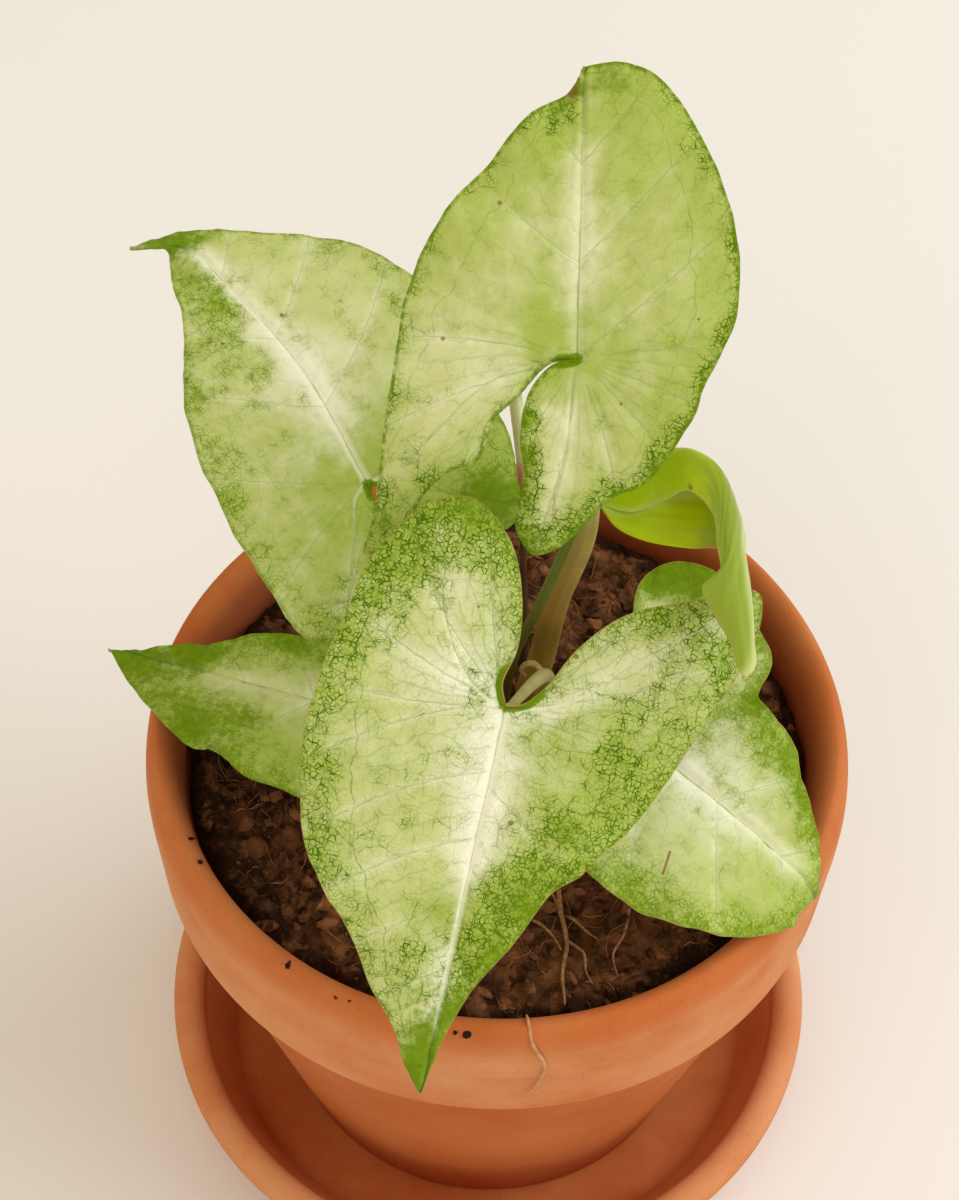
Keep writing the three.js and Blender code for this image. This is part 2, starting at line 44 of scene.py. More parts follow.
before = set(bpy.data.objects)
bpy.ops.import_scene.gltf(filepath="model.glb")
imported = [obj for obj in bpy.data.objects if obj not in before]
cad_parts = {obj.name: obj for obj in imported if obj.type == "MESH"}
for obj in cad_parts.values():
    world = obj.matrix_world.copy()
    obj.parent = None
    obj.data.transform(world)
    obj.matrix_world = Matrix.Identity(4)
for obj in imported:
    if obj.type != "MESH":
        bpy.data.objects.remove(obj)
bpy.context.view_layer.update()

MM = 0.001
BODY = "root"

# ---- the clay, as radius and height from the centre line ----

SAUCER_HEIGHT = 22
SAUCER_LIP = 3.2            # half the thickness of the saucer's round lip
POT_HEIGHT = 114
RIM_CROWN = 62.3            # radius of the highest line of the rim
RIM_RISE = 8.3              # how far the rim rounds up to its crown
BAND_FOOT = 85              # height of the rim band's lower edge
CLAY_TURN = 0.16            # how far the clay strays from true

# ---- the soil ----

SOIL_TOP = 104
SOIL_EDGE = 57.2
SOIL_FLOOR = 14.6
SOIL_FOOT = 34.3
SOIL_RINGS = 104
FALL_START = 52.5           # from this radius the soil falls away over FALL_WIDTH, to the pot's wall
FALL_WIDTH = 4.7

# ---- the open blades ----

LOBE_REACH = 35
RUFFLE_WAVES = 5
RUFFLE_SHIFT = 0.27
RUN_SHARE = (6 / 25, 6 / 25, 13 / 25)      # how the ruffle is shared out between the three runs of a half
RUN_ROWS = (46, 46, 112)
COLUMNS = 42
SPINE_EASE = 1.1
BLADE_SPAN = 120                           # side of the square that the flat map covers
FLAT_CORNER = (-50, -45)
VEIN_UNIT = 100                            # what the distance between two side veins is divided by
COARSE_MESH = 3.2                          # width of the meshes in the green lace
FINE_MESH = 0.8
MIDRIB_WIDTH = (0.95, 0.33)                # half width of the midrib at the stalk and at the tip
LOBE_RIB_WIDTH = (0.75, 0.15)
RIM_BUMPS = ((0.05, 3.5), (0.22, 9))       # height and length of the small bumps along the edge
CRIMPS = ((0.19, 3.1), (0.08, 7.3))        # height of the edge's crimps, and how many to a wave of the ruffle

# Each blade is given flat: x runs across it and y along the midrib, from the point where the stalk meets it
# towards the tip. Pairs give the right half first. right and left are its two edges, from the notch between
# the lobes to the last point before the tip, and spine holds the places where the midrib bends. at, heading,
# pitch and roll place it. arch bends it lengthwise, hook bends its last part further, from a place and by an
# angle, lobes bends the basal lobes, fold lifts each half at the midrib, cup bends it on to the edge over the
# length reach, and ruffle is the height of the edge's waves. ribs are the ends of the veins in the lobes.
# veins are the number of side veins of a half, how far they lean towards the tip, how they fan out, and how
# they bend.
#
# look holds five strengths: the lace, the denser net of the patches, the plain green of their middles, the
# dry thread round the edge, and the green hem inside it. tone holds the green wash all over, the green wash
# near the edge, and the brightness of the cream and the ribs. edge is the strength and width of the net along
# the edge, and notch is how far from the stalk the notch is lined with green. net, solid, tints and milk are
# places of netted patches, plain green, green wash and cream, as x, y, radius and strength, and a negative
# strength takes away. marks are small brown spots, as x, y and radius.
LEAVES = {
    "front": {
        "tip": (0, 66), "at": (0.7, -31.2, 165.3), "heading": 192.9, "pitch": -28, "roll": -3, "arch": -20,
        "lobes": -12, "fold": (8, 2), "cup": (-10, -20), "reach": 38, "ruffle": 0.6,
        "ribs": ((13.5, -13.5), (-18, -11)),
        "tints": ((-8, 36, 10, 0.6), (2.5, 35, 5.5, 0.55), (17, 13, 8, 0.3), (-16, 8, 14, 0.5)),
        "veins": ((6, 0.2, 0.5, 0.011), (5, 0.3, 2.2, 0)), "edge": (0.5, 4.2),
        "look": (0.24, 0.78, 0.2, 0.8, 0.3), "tone": (0.15, 0.4, 1), "notch": 5.8,
        "marks": ((-5, 18.5, 0.5), (8, -15, 0.25), (-9.5, -10.5, 0.45), (-17, -5, 0.3)),
        "right": ((1.3, -3.5), (0.2, -9.5), (1.6, -19), (5.8, -27.5), (13, -32.4), (21, -28.8), (26.6, -20),
                  (29.8, -5), (31.3, 8), (28.6, 25.5), (23, 35.2), (18.2, 39.8), (12, 49.2), (6.9, 55),
                  (3.6, 61.5)),
        "left": ((-2.6, -0.8), (-6, -5), (-9.6, -12), (-15.4, -18.5), (-22.8, -22.3), (-30, -25),
                 (-36.4, -27.3), (-38.4, -22), (-36.3, -13.5), (-31.5, -1.5), (-26, 12), (-18.8, 23),
                 (-13.7, 29), (-9, 39), (-5.2, 45.5), (-1.8, 55)),
        "net": ((12.5, -29.5, 8, 1.0), (20.5, -23.5, 6.5, 0.9), (25, -14, 5.7, 0.7), (28, -4.5, 4.5, 0.6),
                (6, -22.5, 4, 0.6), (20, -16, 3.7, 0.35), (29, 5.5, 4, 0.5), (27.5, 17, 4, 0.5),
                (23, 29, 5, 0.55), (-31, -18, 7.3, 0.65), (-22.5, -18.5, 5.3, 0.45), (-18.5, 3.5, 5.3, 0.75),
                (-23.5, -4, 4.5, 0.6), (-24.5, 10, 5.3, 0.6), (-16, 19, 7, 0.7), (-9.5, 28, 6.5, 0.65),
                (-7, 35, 6, 1.0), (-3, 45, 6, 1.0), (8, 44, 4.5, 0.5), (-2, 37, 3, 0.5), (-10.5, 17, 3, 0.6)),
        "solid": ((0, 63, 5, 1.2), (1, 56, 4.5, 0.8), (-4, 50, 4.5, 0.45), (6, 49, 4, 0.4),
                  (-7, 42, 4, 0.25), (13, -31, 3.7, 0.45), (-34, -17, 3, 0.2), (-9, 29, 5, 0.35),
                  (-15, 19, 4.5, 0.35), (-20, 12, 3, 0.3), (-12, 33, 2.4, 0.4), (-8, 40, 2.4, 0.4),
                  (-3, 51, 3, 0.4), (-37, -24, 2.6, 0.5), (5.5, -27, 2.4, 0.4)),
    },
    "tall": {
        "tip": (-0.6, 47.3), "at": (10.7, 13.8, 200.4), "heading": 0.5, "pitch": 52, "roll": 0, "arch": -14,
        "lobes": 8, "fold": (6, 1), "cup": (-10, -12), "reach": 36, "ruffle": 0.6,
        "ribs": ((-1, -16), (-21, -11)), "veins": ((3, 0.9, 0.5, 0.002), (3, 0.1, 1.5, 0.014)),
        "edge": (0.5, 2.6), "milk": ((-22, 2, 11, 0.6), (-5, 22, 8, 0.6)), "look": (0.1, 1.0, 0.35, 0.0, 0.9),
        "tone": (0.55, 0.3, 0.4), "notch": 2.6,
        "tints": ((-21, -4, 13, -0.5), (2, 40, 12, 0.3), (-3, 3, 10, 0.45), (-4.5, -11, 2.6, -1.4),
                  (-4.5, -18, 2.6, -1.4), (-4.8, -25, 2.6, -1.0), (6, -20, 8, -0.3)),
        "right": ((-4, -1), (-7.7, -6), (-8.8, -13), (-8, -20), (-9, -29), (-6.2, -33.4), (-1, -31.8),
                  (5.7, -24.4), (13, -19.3), (18.8, -10.4), (21.5, -2.3), (25, 5.5), (26, 15), (23.8, 25.5),
                  (18.5, 37), (11.5, 45.8), (5, 48.2)),
        "left": ((-4.5, -0.8), (-9.7, -6.9), (-14, -11.5), (-15.8, -18), (-20.4, -19.9), (-25, -25),
                 (-28.5, -32.5), (-34.3, -36), (-33, -29), (-31.9, -18), (-30, -2), (-27.6, 12), (-22.6, 23),
                 (-15.5, 31.3), (-9, 39.6), (-3, 43)),
        "net": ((-2, 12, 24, -0.4), (25, 18.5, 3, 0.7), (24.5, 6, 3.3, 0.75), (22.5, -3.5, 3.7, 0.85),
                (19, -11, 3.7, 0.9), (14.5, -17, 3.7, 0.9), (8, -23.5, 3.7, 0.95), (1.5, -28, 3.3, 0.9),
                (-5, -31, 4, 1.0), (-7.6, -24, 2.4, 1.2), (-7.4, -16.5, 2.2, 1.4), (-7.2, -10, 2.2, 1.3),
                (18.5, 36, 3, 0.4), (-4, 39.5, 3.3, 0.8), (-31, -26, 3, 0.6), (-26, 12, 2, 0.3),
                (-22, -21.5, 2.2, 0.7)),
        "solid": ((2, 45, 3.6, 0.45), (5.5, 44.5, 3, 0.3), (-4.5, 40.5, 2.6, 0.4), (-1.5, 43.5, 1.4, 0.8),
                  (-30.5, -29.5, 2, 0.5), (-8.4, -17, 1.6, 0.5), (-8.2, -11, 1.4, 0.5), (-5, -32, 2, 0.3),
                  (14, -18.5, 1.8, 0.4), (21, -8, 1.8, 0.4)),
        "marks": ((-13.5, 25, 0.4), (-22, 2.5, 0.4), (7.5, -7, 0.3), (19.5, 7.5, 0.25), (-2.4, 43.4, 1.2)),
    },
    "back_left": {
        "tip": (-4, 68), "at": (-24.4, 21.6, 156.9), "heading": -39.6, "pitch": 12, "roll": 0, "arch": -14,
        "lobes": -8, "fold": (6, 6), "cup": (-10, -10), "reach": 34, "ruffle": 0.7,
        "ribs": ((10, -9), (-9, -10)), "spine": ((4.4, 25), (4.8, 45), (3.6, 62)),
        "veins": ((4, 0.4, 0.6, 0.006), (4, 0.5, 0.6, 0.004)), "edge": (0.3, 3.5),
        "look": (0.06, 0.62, 0.3, 0.0, 0.6), "tone": (0.2, 0.25, 0.8), "notch": 2.6,
        # painted shade: the tints at (4, -8) and (16, -14) and the plain green at (16, -15) darken the lower
        # part and the right lobe, where the tall and the front blades shade this one
        "tints": ((4, -8, 20, 1.1), (-2, 60, 12, 0.3), (12, 40, 12, -0.1), (16, -14, 8, 1.0)),
        "milk": ((6, 22, 10, 0.6),), "marks": ((8.5, 37.5, 0.5), (-4, 38.5, 0.4), (-14, 35.5, 0.35)),
        "right": ((1, -3), (4, -10), (9, -17.5), (14.6, -21.8), (19.5, -19), (23.5, -13), (26.4, -7),
                  (28.5, 1), (31.5, 12), (33.8, 24), (32.5, 34.6), (28.2, 45.4), (20.2, 53.8), (11.8, 60.2),
                  (5, 65.4), (0.4, 68)),
        "left": ((-1, -3), (-5, -9), (-11, -15), (-17, -19), (-23.5, -22.2), (-28, -18), (-27.6, -10),
                 (-26.3, 1), (-24.4, 12), (-20.7, 25), (-15, 35), (-9.3, 43), (-6, 48.5), (-3.4, 55),
                 (-0.6, 60), (1.2, 63.6)),
        "net": ((16, -14, 7, 1.1), (-23, -20, 5, 0.8), (1, 51, 5.3, 0.85), (0.5, 42.5, 5, 0.8),
                (-3.5, 31, 4.5, 0.7), (-6, 39, 3.5, 0.45), (-14, 31, 3.5, 0.85), (-7.5, 24, 3, 0.6),
                (-19, 20, 3.5, 0.8), (-22, 9.5, 3.3, 0.6), (-25.5, 0, 3.3, 0.5), (-17.5, 14, 3, 0.6),
                (-25, -9.5, 3.3, 0.4), (29.5, 35.5, 3, 0.5), (25, 45, 3, 0.4), (27.5, 28.5, 2, 0.5)),
        "solid": ((3.5, 63, 3.7, 0.9), (8, 61, 3, 0.5), (0.5, 55, 3.3, 0.5), (-4, 48.5, 2.4, 0.4),
                  (0, 66, 3.3, 0.9), (-10.5, 41, 2.5, 0.3), (-4, 31, 3, 0.25), (-14.5, 31, 2.5, 0.35),
                  (1, 47.5, 3, 0.35), (-20, 20, 2.5, 0.3), (16, -15, 8, 0.8), (-13, 38, 1.6, 0.4)),
    },
    "low_left": {
        "tip": (0, 54), "at": (-20.7, -2.1, 117.5), "heading": -74.2, "pitch": 5, "roll": 0, "arch": -10,
        "lobes": -8, "fold": (10, 10), "cup": (-8, -8), "reach": 28, "ruffle": 0.7,
        "ribs": ((6, -7), (-7, -7)), "veins": ((4, 0.5, 0.8, 0.004), (4, 0.5, 0.8, 0.004)), "edge": (0.7, 5),
        "look": (0.04, 0.4, 0.45, 0.0, 0.5), "tone": (0.4, 0.3, 0.18), "notch": 2.6,
        "tints": ((-14, 15, 7, 0.35), (8, 8, 7, 0.2)), "marks": ((-17, 27.5, 0.4),),
        "right": ((1, -3), (3, -9), (7, -15.5), (12, -17), (16, -12), (17.3, -3), (16.4, 6), (13.6, 15),
                  (11, 23.5), (8.8, 30.5), (5.6, 36.5), (3.2, 42.5), (1.1, 49)),
        "left": ((-1, -3), (-4, -9), (-9, -15), (-15, -16.5), (-20, -11), (-22.3, -2), (-21.8, 8.6),
                 (-20.9, 20), (-18, 26.8), (-17.4, 32), (-12.8, 40), (-8, 46), (-3.2, 50.8)),
        "net": ((-3, 30, 5, -0.7), (-2, 41, 7, 0.85), (-1, 48.5, 4, 0.9), (5, 33.5, 5.3, 0.8),
                (9, 23.5, 5.3, 0.85), (10, 16, 4, 0.8), (-12.5, 33, 7, 0.9), (-9.5, 24.5, 6, 0.9),
                (-20, 13.5, 4, 0.6), (-19.5, 21, 4, 0.7), (-4, 32.5, 6, 0.6)),
        "solid": ((-1, 43.5, 6, 0.35), (-1.5, 50, 3.7, 0.55), (3, 37, 4, 0.5), (-13.5, 32.5, 4, 0.5),
                  (-7.5, 22.5, 3, 0.5), (10.5, 22, 3.3, 0.5)),
    },
    "low_right": {
        "tip": (1.5, 44.2), "at": (26.5, -17.5, 133.6), "heading": 123, "pitch": -10, "roll": 16, "arch": -35,
        "hook": (32.2, -60), "lobes": -8, "fold": (6, 6), "cup": (-10, -10), "reach": 34, "ruffle": 0.8,
        "ribs": ((8, -7), (-12, -8)), "veins": ((3, 0.4, 0.7, 0.004), (3, 0.4, 0.7, 0.006)),
        "edge": (0.9, 3.2), "look": (0.1, 0.5, 0.3, 0.8, 0.4), "tone": (0.2, 0.35, 0.5),
        "milk": ((-6, 12, 14, 0.65),), "notch": 2.6, "tints": ((1, 43, 6, 0.8), (6, 30, 12, 0.35)),
        "marks": tuple((16.8 - 0.45 * i, 14.2 - 0.14 * i, 0.3) for i in range(9)),
        "right": ((1, -3), (4, -9.5), (9, -15.5), (15, -17), (20, -12), (23, -4), (25, 6), (24.6, 14.5),
                  (22.3, 21.8), (18.8, 29), (14.6, 34.5), (9.5, 38.8), (5, 42.2)),
        "left": ((-1.5, -3), (-7, -9), (-14.6, -14.2), (-22.2, -18.6), (-27, -18.6), (-31.4, -16), (-33, -9),
                 (-31, -1), (-25.6, 8.3), (-19, 10.1), (-17.5, 14.6), (-16.4, 20), (-11.8, 25), (-7.3, 31),
                 (-4, 36.2), (-1, 41.7)),
        "net": ((20.5, 8.5, 4, 0.6), (22, 15, 4, 0.55), (20, 22.5, 4, 0.5), (15.5, 30.5, 4, 0.65),
                (9, 38, 4, 0.8), (1, 42, 5, 1.1), (-8, 30, 4, 0.8), (-13, 22, 4.5, 0.65),
                (-14, 14.5, 5.3, 0.85), (-16.5, 7.5, 5, 0.7), (-10, 4.5, 4, 0.45), (-2.5, 15, 4, 0.5),
                (17.5, 12, 5, 0.35)),
        "solid": ((-28.5, -13.5, 5.3, 0.95), (-25.5, -18, 3.3, 0.8), (-30.5, -9.5, 3.3, 0.8),
                  (-13, 20, 3.7, 0.4), (-9, 26.5, 3, 0.3), (-0.5, 40, 3.4, 0.5), (-25.5, 4.5, 5, 0.6),
                  (-18.5, 10.5, 3.3, 0.5)),
    },
}

# The young leaf is still rolled. Each list is one line along it, from the stalk to the tip, in the order
# lower edge, midrib, crest of the roll and upper edge.
YOUNG_BASE = (16.1, 9.6, 167.8)
YOUNG_TIP = (38.3, -35.8, 181.3)
YOUNG_LINES = (
    ((18.8, 4.2, 168.9), (23.5, 0, 170.6), (30.9, -2.6, 172.4), (35.3, -4.2, 174.3), (38.2, -8.6, 175.4),
     (38.5, -13, 176.5), (38.7, -17.3, 177.6), (39, -26.8, 179.3), (39.8, -33.4, 180.4)),
    ((21.6, 7.8, 168.4), (27, 9.2, 171.3), (31.5, 9.7, 172.9), (36, 6.7, 176.2), (39, -1.9, 179.2),
     (39.4, -8.2, 179.7), (39.8, -15, 180), (40.2, -27.9, 180.9), (40.1, -33.4, 181.2)),
    ((21.6, 11.6, 171.6), (26, 13.4, 177.4), (30.4, 12.4, 180), (35.4, 5.9, 182.6), (37.4, -3.3, 183.2),
     (37.2, -10.5, 183.6), (36.8, -17.7, 183.8), (38.2, -29.4, 182.9), (38.4, -33.6, 182.2)),
    ((21.5, 7.3, 169), (27, 8, 171.5), (30.6, 3, 180.2), (33.9, -3.8, 182.8), (34.4, -10.4, 182.9),
     (34.7, -16.2, 183), (31.8, -19, 183), (36, -29.5, 182.5), (36.9, -33.4, 182)),
)
YOUNG_LEAN = (0.75, 0.1, 0.65)             # direction in which its stalk meets it
YOUNG_ROWS = 130
YOUNG_COLUMNS = 60
YOUNG_LENGTH = 62                          # rough length and breadth of the sheet, for its markings
YOUNG_BREADTH = 26

# ---- stalks: radii at the foot and the head, the foot on the soil, and the places between ----

STALKS = {
    "front": {"radius": (2, 0.75), "root": (9, 6), "through": ((8, -4, 136),)},
    "tall": {"radius": (2.6, 1.6), "root": (5.8, 13.6),
             "through": ((7.5, 14.2, 115), (10, 14.4, 134), (14.4, 14.4, 157))},
    "back_left": {"radius": (1.8, 1.3), "root": (-3.6, 13.6), "through": ((-12.5, 17.5, 130),)},
    "low_left": {"radius": (1.5, 1.1), "root": (-1.2, 5.4), "through": ((-6, 3.6, 113.5), (-13.5, 0.8, 116))},
    "low_right": {"radius": (1.7, 1.2), "root": (11.8, 11.4), "through": ((14.5, 4, 120), (20, -9, 128.4))},
    "young": {"radius": (1.2, 1), "root": (0.8, 10),
              "through": ((2.8, 10, 124.5), (6.5, 10, 138), (10.6, 10, 155))},
}
STALK_FEET = (92, 97.5, 107.5)             # heights of a stalk's first places, from its hole in the soil up
STALK_NECK = 3.5                           # the last straight part, square to the blade
STALK_CLEAR = 0.75                         # from the stalk's head to the middle of the blade

SPEAR = {"radius": (1.5, 0.45), "root": (4.5, 22.5),
         "through": ((3.8, 28, 128), (3.2, 36, 143.5), (1.4, 44.5, 155.5), (-1, 56, 170))}
SHEATH = {"root": (5.2, 8.2),
          "through": ((6.6, 8, 112), (8, 8, 117), (7.6, 8, 120.6), (6, 8.2, 122.8), (4.5, 8.2, 122.3),
                      (3.9, 8, 120.4), (4.9, 8, 119))}
ROOT_PATH = ((11.5, -27), (11.9, -33), (13.2, -40), (12.4, -47), (12.8, -53.5))
ROOT_CLEAR = 1.3                           # height of the bare root's middle over the soil's lumps
ROOT_BRANCHES = (
    ((12.3, -33.5), (14.2, -35), (16.8, -37), (18.6, -39.6)),
    ((6.9, -36), (8.6, -37), (10.6, -38.8), (12.2, -42)),
    ((13, -39), (14.9, -41), (16.2, -43.5), (16.6, -46.4), (17.8, -49)),
    ((24.3, -33.6), (23.4, -38.6), (21.4, -42.4), (22.2, -46.8)),
    ((12, -34.5), (10.7, -30.6), (8.8, -28)),
)
RIM_ROOT = ((6, -59.2, 112.9), (6.3, -61.4, 114.3), (7, -63.9, 111.9), (9.4, -64.9, 105.6), (8.8, -64.6, 99.8),
            (6.6, -64.3, 93))

# flakes of soil on the pot's crown: x, y, z and size
RIM_FLAKES = ((-4.2, -63.4, 113.1, 0.8), (-6.2, -63.2, 113.2, 0.45), (-52.4, -30.7, 113.5, 0.6),
              (-54.6, -25.5, 113, 0.5), (-35.5, -51.3, 114, 0.5), (-27, -57.2, 113.4, 0.45),
              (-24.5, -57.8, 113.7, 0.3))

# ---- the camera, in millimetres and degrees ----

CAMERA_PLACE = (-4.1, -312.7, 568.6)
CAMERA_ELEVATION = 53.07
CAMERA_ROLL = 1.61
CAMERA_LENS = 90
CAMERA_SENSOR = 36


# ---- small helpers ----

def linear(code):
    """Turns an sRGB hex colour into linear red, green, blue and alpha."""
    values = [int(code[i:i + 2], 16) / 255 for i in (1, 3, 5)]
    return tuple(v / 12.92 if v <= 0.04045 else ((v + 0.055) / 1.055) ** 2.4 for v in values) + (1.0,)


def deselect():
    """Leaves edit mode and deselects everything."""
    if bpy.context.mode != "OBJECT":
        bpy.ops.object.mode_set(mode="OBJECT")
    bpy.ops.object.select_all(action="DESELECT")


def pick(*pieces):
    """Selects these pieces alone, with the first one active."""
    deselect()
    for piece in pieces:
        piece.select_set(True)
    bpy.context.view_layer.objects.active = pieces[0]


def named(name):
    """Names the object that was just added, and its data."""
    piece = bpy.context.object
    piece.name = piece.data.name = name
    return piece


def new_grid(name, rows, columns):
    """Adds a flat grid of that many faces, ready to be shaped."""
    deselect()
    bpy.ops.mesh.primitive_grid_add(x_subdivisions=columns, y_subdivisions=rows, size=1, calc_uvs=False)
    return named(name)


def set_places(piece, places):
    """Moves the vertices of a piece to these places, in millimetres."""
    piece.data.vertices.foreach_set("co", (np.asarray(places, float) * MM).astype(np.float32).ravel())
    piece.data.update()


def get_places(piece):
    """Places of the vertices of a piece, in millimetres."""
    co = np.empty(len(piece.data.vertices) * 3, np.float32)
    piece.data.vertices.foreach_get("co", co)
    return co.reshape(-1, 3).astype(float) / MM


def give_value(piece, name, values):
    """Stores one number a vertex, for a material to read."""
    layer = piece.data.attributes.new(name, "FLOAT", "POINT")
    layer.data.foreach_set("value", np.asarray(values, np.float32).ravel())


def grid_corners(piece, columns):
    """Row and column of each face corner of a grid, and the row of the face that it belongs to."""
    corners = np.empty(len(piece.data.loops), np.int32)
    piece.data.loops.foreach_get("vertex_index", corners)
    face_rows = (corners.reshape(-1, 4).min(1) // (columns + 1)).repeat(4)
    return corners // (columns + 1), corners % (columns + 1), face_rows


def give_map(piece, name, across, along):
    """Adds a UV map from two values for each face corner."""
    layer = piece.data.uv_layers.new(name=name)
    layer.data.foreach_set("uv", np.stack([across, along], -1).astype(np.float32).ravel())


def close_up(piece, reach=0.01, outward=True):
    """Merges doubled vertices, and turns the faces of a closed piece outwards."""
    pick(piece)
    bpy.ops.object.mode_set(mode="EDIT")
    bpy.ops.mesh.select_all(action="SELECT")
    bpy.ops.mesh.remove_doubles(threshold=reach * MM)
    bpy.ops.mesh.normals_make_consistent(inside=not outward)
    bpy.ops.object.mode_set(mode="OBJECT")


def finish_piece(piece, materials, nodes=(), angle=50):
    """Smooths a piece, gives it its materials and ties it to the part."""
    pick(piece)
    bpy.ops.object.shade_smooth_by_angle(angle=math.radians(angle))
    for material in materials:
        piece.data.materials.append(material)
    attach(piece, BODY)
    if nodes:
        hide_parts(*nodes)
    return piece


def smooth_curve(points, where, power=0.25):
    """Places on a smooth curve through the points; where runs from 0 to 1."""
    points = np.asarray(points, float)
    count = len(points)
    ends = np.vstack([2 * points[0] - points[1], points, 2 * points[-1] - points[-2]])
    spot = (count - 1) * np.clip(np.asarray(where, float), 0, 1)
    first = np.minimum(spot.astype(int), count - 2)
    t = (spot - first)[:, None]
    a, b, c, d = (ends[first + k] for k in range(4))
    gaps = [np.maximum(((q - p) ** 2).sum(1) ** power, 1e-4)[:, None] for p, q in ((a, b), (b, c), (c, d))]
    out = ((b - a) / gaps[0] - (c - a) / (gaps[0] + gaps[1]) + (c - b) / gaps[1]) * gaps[1]
    into = ((c - b) / gaps[1] - (d - b) / (gaps[1] + gaps[2]) + (d - c) / gaps[2]) * gaps[1]
    return b + out * t + (3 * (c - b) - 2 * out - into) * t ** 2 + (2 * (b - c) + out + into) * t ** 3


def even_curve(points, where, power=0.25):
    """The same, with where measured as a share of the curve's length."""
    steps = np.linspace(0, 1, 401)
    places = smooth_curve(points, steps, power)
    run = np.concatenate([[0], np.cumsum(np.linalg.norm(np.diff(places, axis=0), axis=1))])
    return smooth_curve(points, np.interp(where, run / run[-1], steps), power)


def distance_to(places, path, widths=None):
    """Distance of flat places from a path, and the same measured in the path's own widths."""
    start, end = path[:-1], path[1:]
    along = end - start
    square = np.maximum((along ** 2).sum(1), 1e-12)
    nearest = np.full(len(places), 1e9)
    scaled = nearest.copy()
    for i in range(len(start)):
        share = np.clip(((places - start[i]) @ along[i]) / square[i], 0, 1)
        gap = np.linalg.norm(places - start[i] - share[:, None] * along[i], axis=1)
        nearest = np.minimum(nearest, gap)
        if widths is not None:
            scaled = np.minimum(scaled, gap / (widths[i] + (widths[i + 1] - widths[i]) * share))
    return nearest, scaled


def ease(value, low, high):
    """Rises smoothly from 0 at low to 1 at high."""
    share = np.clip((value - low) / (high - low), 0, 1)
    return share * share * (3 - 2 * share)


def bell(value, width):
    """1 where the value is 0, and fading to nothing over about twice the width."""
    return np.exp(-(value / width) ** 2)


def wander(places, size, seed):
    """A smooth irregular value between about -1 and 1 that changes over that many millimetres."""
    draw = random.Random(seed)
    total = 0
    for _ in range(7):
        turn = draw.uniform(0, math.tau)
        rate = math.tau / (size * draw.uniform(0.7, 1.7))
        phase = draw.uniform(0, math.tau)
        along = places[..., 0] * math.cos(turn) + places[..., 1] * math.sin(turn)
        total = total + np.sin(along * rate + phase)
    return total / 3.2


# ---- materials ----

# the one choice that sets which sockets a kind of node has
CHOICES = {"Math": "operation", "VectorMath": "operation", "MapRange": "interpolation_type",
           "Mix": "data_type", "TexNoise": "noise_dimensions", "TexVoronoi": "feature", "UVMap": "uv_map",
           "Attribute": "attribute_name"}


def new_material(name, **settings):
    """A material with its one shader; the settings are the shader's own constant values."""
    material = bpy.data.materials.new(name)
    material.use_nodes = True
    shader = material.node_tree.nodes["Principled BSDF"]
    for key, value in settings.items():
        shader.inputs[key.replace("_", " ")].default_value = value
    return material


def node(material, kind, *inputs, out="", **settings):
    """Adds a node and gives its first output, or the one named by out. kind may carry the node's choice after
    a colon. The inputs follow the order of its open sockets: an output is linked, a hex colour is turned to
    linear, and None leaves a socket as it is."""
    kind, _, choice = kind.partition(":")
    tree = material.node_tree
    made = tree.nodes.new("ShaderNode" + kind)
    if choice:
        settings[CHOICES[kind]] = choice
    for key, value in settings.items():
        setattr(made, key, value)
    for socket, value in zip([s for s in made.inputs if s.enabled], inputs):
        if isinstance(value, bpy.types.NodeSocket):
            tree.links.new(value, socket)
        elif value is not None:
            socket.default_value = linear(value) if isinstance(value, str) else value
    return next(s for s in made.outputs if s.enabled and out in ("", s.name))


def wire(material, **outputs):
    """Links outputs to the shader's inputs of those names."""
    shader = material.node_tree.nodes["Principled BSDF"]
    for key, output in outputs.items():
        material.node_tree.links.new(output, shader.inputs[key.replace("_", " ")])
    return material


def from_line(add, count, spacing):
    """Distance from the nearest line, where count is half past a whole number on the lines."""
    off = add("Math:ABSOLUTE", add("Math:SUBTRACT", add("Math:FRACT", count), 0.5))
    return add("Math:MULTIPLY", off, spacing)


